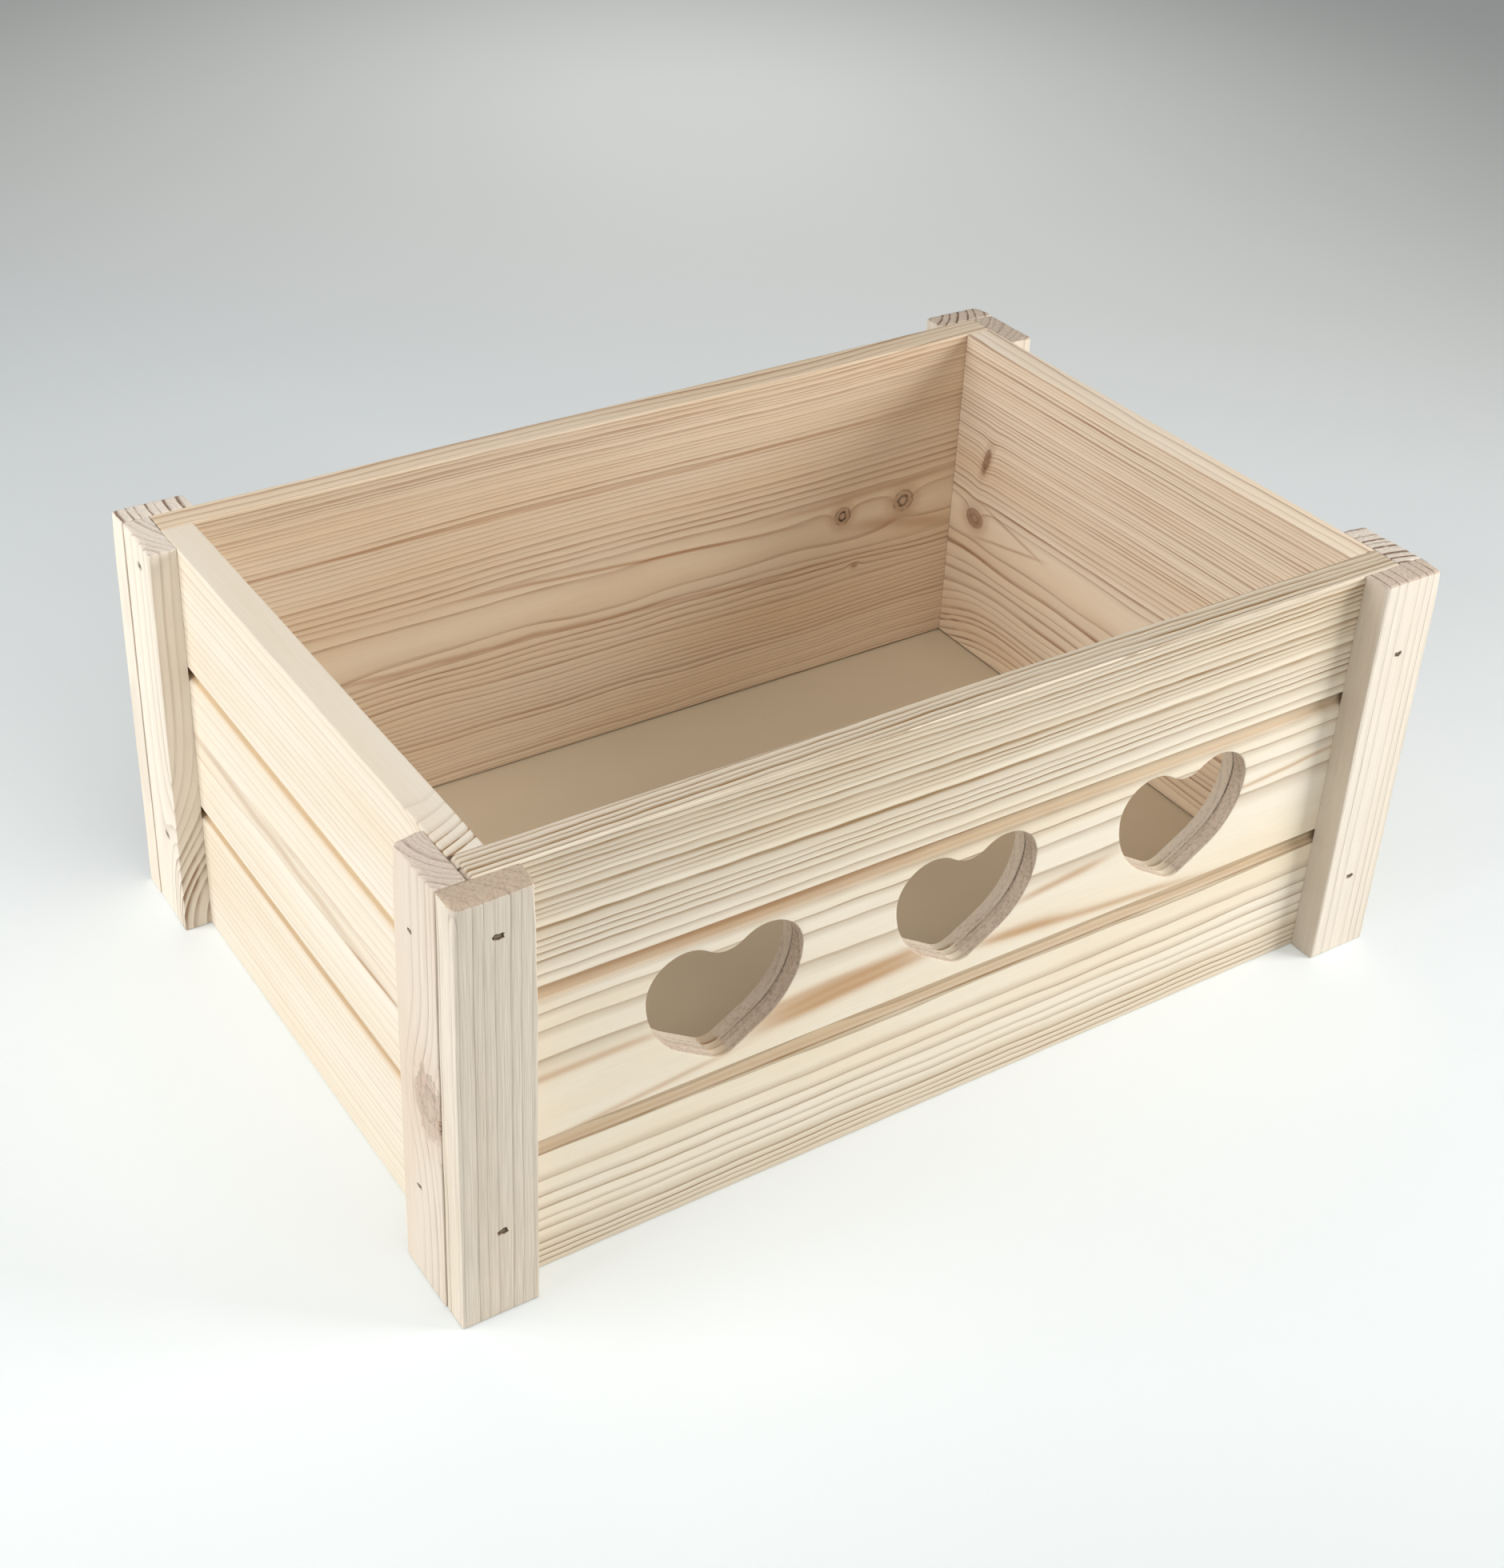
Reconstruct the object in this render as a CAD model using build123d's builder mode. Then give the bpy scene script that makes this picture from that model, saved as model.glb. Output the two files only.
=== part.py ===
"""Pine toy box: grooved boards, corner battens, a let-in floor and heart cut-outs.

X runs along the length, the hearts face -Y and Z is up. The origin is on the ground, under the middle.
"""
import os
from math import atan, cos, degrees, radians, sin, tan

from build123d import *

os.makedirs("parts", exist_ok=True)

# Box over its boards, without the battens
BOX_LENGTH = 426.0
BOX_WIDTH = 282.0
BOX_HEIGHT = 188.0

# Planed pine that the boards and battens are cut from
BOARD_THICKNESS = 14.0
BATTEN_THICKNESS = 12.0
BATTEN_WIDTH = 32.0
EDGE_EASE = 0.6
END_EASE = 0.4

# Two milled grooves make each board look like three planks
GROOVE_WIDTH = 7.0
GROOVE_DEPTH = 2.5
GROOVE_LIP = 1.5
GROOVE_PITCH = 70.0

# Heart cut-outs in the front board
HEART_COUNT = 3
HEART_PITCH = 110.0
HEART_WIDTH = 67.0
HEART_HEIGHT = 55.0
HEART_LOBE_RADIUS = 16.0
HEART_NOTCH_DEPTH = 6.0
HEART_TIP_RADIUS = 8.0
HEART_FLANK_TURN = 58.0
HEART_RIM_EASE = 0.5
HEART_RISE = 2.0

# Floor panel, let into a housing that runs round the inside of the boards
FLOOR_TOP = 20.5
FLOOR_THICKNESS = 4.0
FLOOR_HOUSING_DEPTH = 5.0
FLOOR_GAP = 0.4

# T-headed brads of flat wire
BRAD_GAUGE = 1.4
BRAD_SHANK = 1.6
BRAD_HEAD = 3.0
BRAD_HEAD_THICKNESS = 1.2
BRAD_TIP_LENGTH = 3.0
BRAD_TIP_WIDTH = 0.6
BRAD_SINK = 0.8
BRAD_END_INSET = 5.0

# How far the brads and nails run: bite is into the last board, cover is wood left beyond the tip
FACE_BRAD_BITE = 9.8
SIDE_BRAD_COVER = 3.2
CORNER_NAIL_BITE = 26.0

# Heights: rise is above the ground, drop is below the top
FACE_BRAD_RISE = 40.0
SIDE_BRAD_RISE = 44.0
CORNER_NAIL_RISE = 28.0
CORNER_NAIL_DROP = 48.0

# The upper brads are driven by eye, so each batten has its own drop
UPPER_BRAD_DROP = {
    "front_left": 17.0,
    "front_right": 35.0,
    "back_left": 22.0,
    "back_right": 28.0,
    "left_front": 29.0,
    "left_back": 11.0,
    "right_front": 20.0,
    "right_back": 16.0,
}

UP = Vector(0, 0, 1)
HALF_LENGTH = BOX_LENGTH / 2
HALF_WIDTH = BOX_WIDTH / 2
INNER_LENGTH = BOX_LENGTH - 2 * BOARD_THICKNESS
INNER_WIDTH = BOX_WIDTH - 2 * BOARD_THICKNESS
FLOOR_BOTTOM = FLOOR_TOP - FLOOR_THICKNESS
HOUSING_HEIGHT = FLOOR_THICKNESS + FLOOR_GAP

# Each side of the box: its name and the way it faces
FACES = {"front": Vector(0, -1, 0), "back": Vector(0, 1, 0)}
ENDS = {"left": Vector(-1, 0, 0), "right": Vector(1, 0, 0)}


def save(piece, name):
    """Label one finished piece and write it under its node's name."""
    piece.label = name
    export_step(piece, f"parts/{name}.step")


def make_board(outward, reach, length):
    """One board, its outer face at reach along outward: grooves outside, floor housing inside."""
    section_plane = Plane(origin=outward * reach, x_dir=outward, z_dir=outward.cross(UP))
    with BuildPart() as board:
        with BuildSketch(section_plane) as section:
            with Locations((-BOARD_THICKNESS / 2, BOX_HEIGHT / 2)):
                Rectangle(BOARD_THICKNESS, BOX_HEIGHT)
            fillet(section.vertices(), EDGE_EASE)
            with Locations((0, BOX_HEIGHT / 2)):
                with GridLocations(0, GROOVE_PITCH, 1, 2):
                    Polygon(
                        (0, GROOVE_WIDTH / 2),
                        (-GROOVE_DEPTH, GROOVE_WIDTH / 2),
                        (-GROOVE_DEPTH, GROOVE_LIP - GROOVE_WIDTH / 2),
                        (0, -GROOVE_WIDTH / 2),
                        align=None,
                        mode=Mode.SUBTRACT,
                    )
            with Locations((-BOARD_THICKNESS, FLOOR_BOTTOM)):
                Rectangle(
                    FLOOR_HOUSING_DEPTH,
                    HOUSING_HEIGHT,
                    align=(Align.MIN, Align.MIN),
                    mode=Mode.SUBTRACT,
                )
        extrude(amount=length / 2, both=True)
    return board.part


def make_heart():
    """Heart outline about its own middle: a hollow notch, round lobes, full flanks and a blunt tip."""
    half_width = HEART_WIDTH / 2
    lobe_reach = half_width - HEART_LOBE_RADIUS
    notch_turn = 2 * atan(HEART_NOTCH_DEPTH / lobe_reach)
    notch_radius = lobe_reach / sin(notch_turn) - HEART_LOBE_RADIUS
    flank_turn = radians(HEART_FLANK_TURN)
    tip_drop = HEART_TIP_RADIUS * (1 - sin(flank_turn))
    tip_reach = HEART_TIP_RADIUS * cos(flank_turn)
    lobe_to_tip = HEART_HEIGHT - HEART_LOBE_RADIUS
    flank_radius = lobe_to_tip - tip_drop - (half_width - tip_reach) / tan(flank_turn)
    flank_radius *= sin(flank_turn) / (1 - cos(flank_turn))
    run_across = half_width - flank_radius * (1 - cos(flank_turn)) - tip_reach
    with BuildSketch() as heart:
        with BuildLine():
            notch_start = (0, HEART_HEIGHT / 2 - HEART_NOTCH_DEPTH)
            notch = JernArc(notch_start, (1, 0), notch_radius, degrees(notch_turn))
            lobe = JernArc(notch @ 1, notch % 1, HEART_LOBE_RADIUS, -degrees(notch_turn) - 90)
            flank = JernArc(lobe @ 1, lobe % 1, flank_radius, -HEART_FLANK_TURN)
            run = PolarLine(flank @ 1, run_across / sin(flank_turn), direction=flank % 1)
            TangentArc(run @ 1, (0, -HEART_HEIGHT / 2), tangent=run % 1)
            mirror(about=Plane.YZ)
        make_face()
    return heart.sketch


def make_brad(head_point, outward, length, sink, rise):
    """One brad driven in at head_point: sink is the head's depth, rise lifts the head's top for a cutter."""
    across = UP.cross(outward)
    brad_plane = Plane(origin=head_point, x_dir=across, z_dir=across.cross(outward))
    head_under = -sink - BRAD_HEAD_THICKNESS
    tip = -sink - length
    right_side = [
        (BRAD_HEAD / 2, rise - sink),
        (BRAD_HEAD / 2, head_under),
        (BRAD_SHANK / 2, head_under),
        (BRAD_SHANK / 2, tip + BRAD_TIP_LENGTH),
        (BRAD_TIP_WIDTH / 2, tip),
    ]
    left_side = [(-x, y) for x, y in reversed(right_side)]
    with BuildPart() as brad:
        with BuildSketch(brad_plane):
            with BuildLine():
                Polyline(*right_side, *left_side, close=True)
            make_face()
        extrude(amount=BRAD_GAUGE / 2, both=True)
    return brad.part


def make_brads(head_points, outward, length, sink):
    """A row of brads as one group of separate solids, and the cutter for their holes."""
    with BuildPart() as brads:
        for point in head_points:
            add(make_brad(point, outward, length, sink, 0))
    with BuildPart() as cutter:
        for point in head_points:
            add(make_brad(point, outward, length, sink, 2 * sink))
    return brads.part, cutter.part


def make_batten(corner, outward, along, cutter):
    """One upright batten: it starts at corner, is as thick as outward says and as wide as along says."""
    size = outward * BATTEN_THICKNESS + along * BATTEN_WIDTH
    centre = corner + size / 2
    with BuildPart() as batten:
        with BuildSketch(Plane.XY):
            with Locations((centre.X, centre.Y)):
                RectangleRounded(abs(size.X), abs(size.Y), EDGE_EASE)
        extrude(amount=BOX_HEIGHT)
        sawn_ends = batten.faces().filter_by(Axis.Z)
        chamfer(sawn_ends.edges(), END_EASE)
        add(cutter, mode=Mode.SUBTRACT)
    return batten.part


# Corner by corner: brads, nails and battens, with the holes that the boards share
board_cutters = {name: [] for name in [*FACES, *ENDS]}
for face, face_out in FACES.items():
    for end, end_out in ENDS.items():
        corner = face_out * HALF_WIDTH + end_out * HALF_LENGTH

        # Through the face batten and the long board into the end board's end grain
        top = BOX_HEIGHT - UPPER_BRAD_DROP[f"{face}_{end}"]
        foot = corner + face_out * BATTEN_THICKNESS - end_out * BRAD_END_INSET
        length = BATTEN_THICKNESS + BOARD_THICKNESS - BRAD_SINK + FACE_BRAD_BITE
        points = [foot + UP * height for height in (FACE_BRAD_RISE, top)]
        face_brads, face_cutter = make_brads(points, face_out, length, BRAD_SINK)
        save(face_brads, f"{face}_{end}_batten_brads")

        # Through the side batten into the end board, just past the long board
        top = BOX_HEIGHT - UPPER_BRAD_DROP[f"{end}_{face}"]
        inset = BOARD_THICKNESS + BRAD_END_INSET
        foot = corner + end_out * BATTEN_THICKNESS - face_out * inset
        length = BATTEN_THICKNESS + BOARD_THICKNESS - BRAD_SINK - SIDE_BRAD_COVER
        points = [foot + UP * height for height in (SIDE_BRAD_RISE, top)]
        side_brads, side_cutter = make_brads(points, end_out, length, BRAD_SINK)
        save(side_brads, f"{end}_{face}_batten_brads")

        # Nails under the battens hold the long board to the end board
        foot = corner - end_out * (BOARD_THICKNESS / 2)
        heights = (CORNER_NAIL_RISE, BOX_HEIGHT / 2, BOX_HEIGHT - CORNER_NAIL_DROP)
        points = [foot + UP * height for height in heights]
        length = BOARD_THICKNESS + CORNER_NAIL_BITE
        corner_nails, nail_cutter = make_brads(points, face_out, length, 0)
        save(corner_nails, f"{face}_{end}_corner_nails")

        # The face batten laps over the side batten's edge
        lap_corner = corner + end_out * BATTEN_THICKNESS
        face_batten = make_batten(lap_corner, face_out, -end_out, face_cutter)
        save(face_batten, f"{face}_{end}_batten")
        side_batten = make_batten(corner, end_out, -face_out, side_cutter)
        save(side_batten, f"{end}_{face}_batten")

        board_cutters[face] += [face_cutter, nail_cutter]
        board_cutters[end] += [face_cutter, side_cutter, nail_cutter]

# Front board with its hearts
with BuildPart() as front_board:
    add(make_board(FACES["front"], HALF_WIDTH, BOX_LENGTH))
    with BuildSketch(Plane.XZ.offset(HALF_WIDTH)):
        with Locations((0, BOX_HEIGHT / 2 + HEART_RISE)):
            with GridLocations(HEART_PITCH, 0, HEART_COUNT, 1):
                add(make_heart())
    extrude(amount=-BOARD_THICKNESS, mode=Mode.SUBTRACT)
    rim_wires = [wire for side in front_board.faces().filter_by(Plane.XZ) for wire in side.inner_wires()]
    chamfer([edge for wire in rim_wires for edge in wire.edges()], HEART_RIM_EASE)
    for cutter in board_cutters["front"]:
        add(cutter, mode=Mode.SUBTRACT)
save(front_board.part, "front_board")

# Back board
with BuildPart() as back_board:
    add(make_board(FACES["back"], HALF_WIDTH, BOX_LENGTH))
    for cutter in board_cutters["back"]:
        add(cutter, mode=Mode.SUBTRACT)
save(back_board.part, "back_board")

# End boards fit between the front and the back
for end, end_out in ENDS.items():
    with BuildPart() as end_board:
        add(make_board(end_out, HALF_LENGTH, INNER_WIDTH))
        for cutter in board_cutters[end]:
            add(cutter, mode=Mode.SUBTRACT)
    save(end_board.part, f"{end}_end_board")

# Floor panel, resting on the lower edge of the housing
panel_margin = 2 * (FLOOR_HOUSING_DEPTH - FLOOR_GAP)
with BuildPart() as floor_panel:
    with BuildSketch(Plane.XY.offset(FLOOR_BOTTOM)):
        Rectangle(INNER_LENGTH + panel_margin, INNER_WIDTH + panel_margin)
    extrude(amount=FLOOR_THICKNESS)
save(floor_panel.part, "floor_panel")
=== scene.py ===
"""Looks of the pine toy box: eased and worn boards and battens, steel brads, a studio and its camera.

Lengths are metres in the box's own frame. Grain sizes are millimetres, measured on each piece's own wood.
"""

import logging
import math
from dataclasses import dataclass, field
from enum import Enum
from typing import Any, Callable, Union

import bmesh
import bpy
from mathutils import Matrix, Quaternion, Vector, noise


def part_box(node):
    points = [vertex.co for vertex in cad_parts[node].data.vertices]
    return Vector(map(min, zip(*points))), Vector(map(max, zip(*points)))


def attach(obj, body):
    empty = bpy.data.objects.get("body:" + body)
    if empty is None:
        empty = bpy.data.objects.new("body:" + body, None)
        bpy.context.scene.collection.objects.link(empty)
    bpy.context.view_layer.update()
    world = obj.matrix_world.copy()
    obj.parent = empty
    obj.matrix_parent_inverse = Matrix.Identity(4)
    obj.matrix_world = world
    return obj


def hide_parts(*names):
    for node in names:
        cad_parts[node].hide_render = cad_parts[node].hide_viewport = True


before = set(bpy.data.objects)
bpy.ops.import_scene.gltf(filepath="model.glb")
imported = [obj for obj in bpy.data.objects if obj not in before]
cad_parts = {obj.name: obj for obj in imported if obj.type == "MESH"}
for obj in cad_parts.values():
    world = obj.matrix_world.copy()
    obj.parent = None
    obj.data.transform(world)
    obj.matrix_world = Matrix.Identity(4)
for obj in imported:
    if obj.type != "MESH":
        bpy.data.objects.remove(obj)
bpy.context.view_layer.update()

MM = 0.001
SHORTEST_EDGE = 0.002 * MM
BODY = "root"

log = logging.getLogger("toy_box")

Number = Union["Channel", float]
Colour = tuple[float, float, float, float]


def hue(code: str) -> Colour:
    """Turn an sRGB colour such as "e6d9c4" into the linear one that shaders take.

    Args:
        code: six hexadecimal digits.

    Returns:
        Red, green, blue and alpha.
    """
    parts = [int(code[i : i + 2], 16) / 255 for i in (0, 2, 4)]
    linear = [c / 12.92 if c <= 0.04045 else ((c + 0.055) / 1.055) ** 2.4 for c in parts]
    return (*linear, 1.0)


class Lie(Enum):
    """How the grain lies in a piece: the axes along it, across it and into the wood."""

    LONG_BOARD = (0, 2, 1)
    END_BOARD = (1, 2, 0)
    FACE_BATTEN = (2, 0, 1)
    SIDE_BATTEN = (2, 1, 0)


def operator(operation: str, swapped: bool = False) -> Callable[["Channel", Number], "Channel"]:
    """Make an operator that adds one Math node.

    Args:
        operation: Blender's name for what the node does.
        swapped: whether the other number comes first.

    Returns:
        The method behind the operator.
    """

    def apply(channel: "Channel", other: Number) -> "Channel":
        """Add the node."""
        return channel.nodes.math(operation, *((other, channel) if swapped else (channel, other)))

    return apply


class Channel:
    """One number in a node tree: an output socket whose operators add Math nodes."""

    __add__, __radd__ = operator("ADD"), operator("ADD", swapped=True)
    __sub__, __rsub__ = operator("SUBTRACT"), operator("SUBTRACT", swapped=True)
    __mul__, __rmul__ = operator("MULTIPLY"), operator("MULTIPLY", swapped=True)
    __truediv__, __rtruediv__ = operator("DIVIDE"), operator("DIVIDE", swapped=True)

    def __init__(self, nodes: "Nodes", socket: bpy.types.NodeSocket) -> None:
        """Wrap one output socket of a tree."""
        self.nodes = nodes
        self.socket = socket

    def __neg__(self) -> "Channel":
        """Negative."""
        return self * -1.0

    def __abs__(self) -> "Channel":
        """Size without its sign."""
        return self.function("ABSOLUTE")

    def function(self, operation: str, *others: Number) -> "Channel":
        """Any other Math operation on this number, such as FLOOR or POWER."""
        return self.nodes.math(operation, self, *others)

    def at_most(self, limit: float) -> "Channel":
        """The number, or the limit where it is higher."""
        return self.function("MINIMUM", limit)

    def at_least(self, limit: float) -> "Channel":
        """The number, or the limit where it is lower."""
        return self.function("MAXIMUM", limit)

    def smooth(self, low: Number, high: Number) -> "Channel":
        """Rise smoothly from 0 to 1.

        Args:
            low: where the rise starts.
            high: where it ends.

        Returns:
            The risen number.
        """
        sockets = {"Value": self, "From Min": low, "From Max": high}
        node = self.nodes.add("ShaderNodeMapRange", {"interpolation_type": "SMOOTHSTEP"}, sockets)
        return Channel(self.nodes, node.outputs["Result"])

    def bell(self) -> "Channel":
        """Fall from 1 at zero towards 0 on both sides."""
        return (self * self * -1.0).function("EXPONENT")


class Nodes:
    """A node tree under construction."""

    def __init__(self, tree: bpy.types.NodeTree) -> None:
        """Take the tree that the nodes go into."""
        self.tree = tree

    def add(self, kind: str, settings: dict[str, Any], sockets: dict[Any, Any]) -> bpy.types.Node:
        """Add one node.

        Args:
            kind: Blender's name for the node's type.
            settings: properties of the node, set before its sockets.
            sockets: a value, a channel or an output socket for each input, by name or number.

        Returns:
            The new node.
        """
        node = self.tree.nodes.new(kind)
        for name, value in settings.items():
            setattr(node, name, value)
        for key, value in sockets.items():
            source = value.socket if isinstance(value, Channel) else value
            if isinstance(source, bpy.types.NodeSocket):
                self.tree.links.new(source, node.inputs[key])
            else:
                node.inputs[key].default_value = source
        return node

    def math(self, operation: str, *operands: Number) -> Channel:
        """Add one Math node."""
        node = self.add("ShaderNodeMath", {"operation": operation}, dict(enumerate(operands)))
        return Channel(self, node.outputs[0])

    def split(self, vector: bpy.types.NodeSocket) -> list[Channel]:
        """The three numbers of a vector."""
        node = self.add("ShaderNodeSeparateXYZ", {}, {0: vector})
        return [Channel(self, socket) for socket in node.outputs]

    def join(self, numbers: dict[int, Any]) -> bpy.types.NodeSocket:
        """A vector with those numbers along its axes."""
        return self.add("ShaderNodeCombineXYZ", {}, numbers).outputs[0]


class Shader(Nodes):
    """A material under construction, with the piece's own coordinates at hand."""

    def __init__(self, name: str) -> None:
        """Start an empty material.

        Args:
            name: name of the material.
        """
        self.material = bpy.data.materials.new(name)
        self.material.use_nodes = True
        super().__init__(self.material.node_tree)
        self.tree.nodes.clear()
        self.place = self.add("ShaderNodeTexCoord", {}, {}).outputs

    def mottle(self, place: bpy.types.NodeSocket, scale: float, detail: float) -> Channel:
        """Smooth noise between 0 and 1."""
        node = self.add("ShaderNodeTexNoise", {}, {"Vector": place, "Scale": scale, "Detail": detail})
        return Channel(self, node.outputs["Fac"])

    def bump(self, strength: float, distance: float, height: Channel) -> bpy.types.NodeSocket:
        """The normal of a surface raised by a height."""
        sockets = {"Strength": strength, "Distance": distance, "Height": height}
        return self.add("ShaderNodeBump", {}, sockets).outputs[0]

    def mix(self, share: Number, first: Any, second: Any, blend: str = "MIX") -> bpy.types.NodeSocket:
        """Mix two colours.

        Args:
            share: how much of the second colour shows.
            first: a colour, or the socket that gives it.
            second: a colour, or the socket that gives it.
            blend: Blender's name for the way they mix.

        Returns:
            The socket with the mixed colour.
        """
        settings = {"data_type": "RGBA", "blend_type": blend}
        return self.add("ShaderNodeMix", settings, {0: share, 6: first, 7: second}).outputs[2]

    def finish(self, sockets: dict[str, Any]) -> bpy.types.Material:
        """Close the material with a Principled shader.

        Args:
            sockets: a value, a channel or an output socket for each of the shader's inputs.

        Returns:
            The finished material.
        """
        surface = self.add("ShaderNodeBsdfPrincipled", {}, sockets)
        self.add("ShaderNodeOutputMaterial", {}, {"Surface": surface.outputs["BSDF"]})
        return self.material


@dataclass(frozen=True)
class Plank:
    """Where a piece's wood lies."""

    lie: Lie
    origin: Vector
    inward: float
    slots: tuple[Vector, ...] = ()

    def scale(self) -> Vector:
        """Find the scale from the frame's metres to the wood's millimetres, with depth counted inwards.

        Returns:
            The scale by axis.
        """
        sizes = Vector((1 / MM, 1 / MM, 1 / MM))
        sizes[self.lie.value[2]] *= self.inward
        return sizes


@dataclass(frozen=True)
class Knot:
    """A knot: its middle and half sizes, how far the rings bend round it, and how it is coloured.

    An eye of 1 gives a pin knot with rings of bark, 0 a plain brown knot. A bold knot darkens the rings
    near it, and one that isn't dark only bends them.
    """

    along: float
    across: float
    half_length: float
    half_width: float
    lift: float
    reach: float = 1.7
    dark: float = 0.8
    lean: float = 0.0
    dip: float = 0.0
    eye: float = 0.0
    rough: float = 0.24
    bold: float = 0.0


@dataclass(frozen=True)
class Streak:
    """A resin streak: its middle, half sizes and slope, its strength and ragged edge, and where it starts.

    It starts at the depth beyond, or runs through the wood where that is below 0.
    """

    along: float
    across: float
    half_length: float
    half_width: float
    slope: float = 0.0
    strength: float = 0.5
    ragged: float = 1.0
    beyond: float = -9.0


@dataclass(frozen=True)
class PineTone:
    """Colours of one piece of pine."""

    early: str = "f3e7d2"
    warm: str = "eeddc0"
    late: str = "a07a54"
    resin: str = "c48c4c"
    end_early: str = "dccab7"
    end_late: str = "866c59"
    knot: str = "9a7152"
    bark: str = "45342b"
    # painted shade of the brad slots, with the steel's stain
    slot_shade_and_stain: str = "6f5a43"
    # tint of the groove floors: the cutter's rough mark with painted shade of the recess
    milled_and_shaded: str = "d8c3a8"


@dataclass(frozen=True)
class PineGrain:
    """Growth of the wood in one piece, in millimetres on that piece.

    The rings lie round the pith at (pith_across, pith_depth). They are ring_width wide where they touch the
    face at face_depth, and get narrower outwards by crowding. Where squeeze is under 1, those below the pith
    are wider. They waver by that much in long bends, and by the share wobble of it in short ones. Their dark
    lines are line_width wide on a face that cuts them squarely, and fade on one that cuts them flatter than
    flat_fade. Where cuts from both faces meet at cut_depth, the walls of holes have a dark line of painted
    shade, which stands for the shadow in the step there.
    """

    seed: float
    pith_across: float
    pith_depth: float
    ring_width: float
    crowding: float = 0.0
    squeeze: float = 1.0
    waver: float = 4.0
    wobble: float = 0.045
    contrast: float = 1.0
    end_contrast: float = 0.9
    fuzz: float = 0.2
    cut_depth: float = 0.0
    softness: float = 0.16
    line_width: float = 0.8
    flat_fade: float = 0.36
    face_depth: float = 0.0
    phase: float = 0.15
    relief: float = 1.0
    fibres: float = 1.0
    knots: tuple[Knot, ...] = ()
    streaks: tuple[Streak, ...] = ()
    milled_bands: tuple[tuple[float, float], ...] = ()


KnotPlace = tuple[Channel, Channel, Channel]


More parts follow.
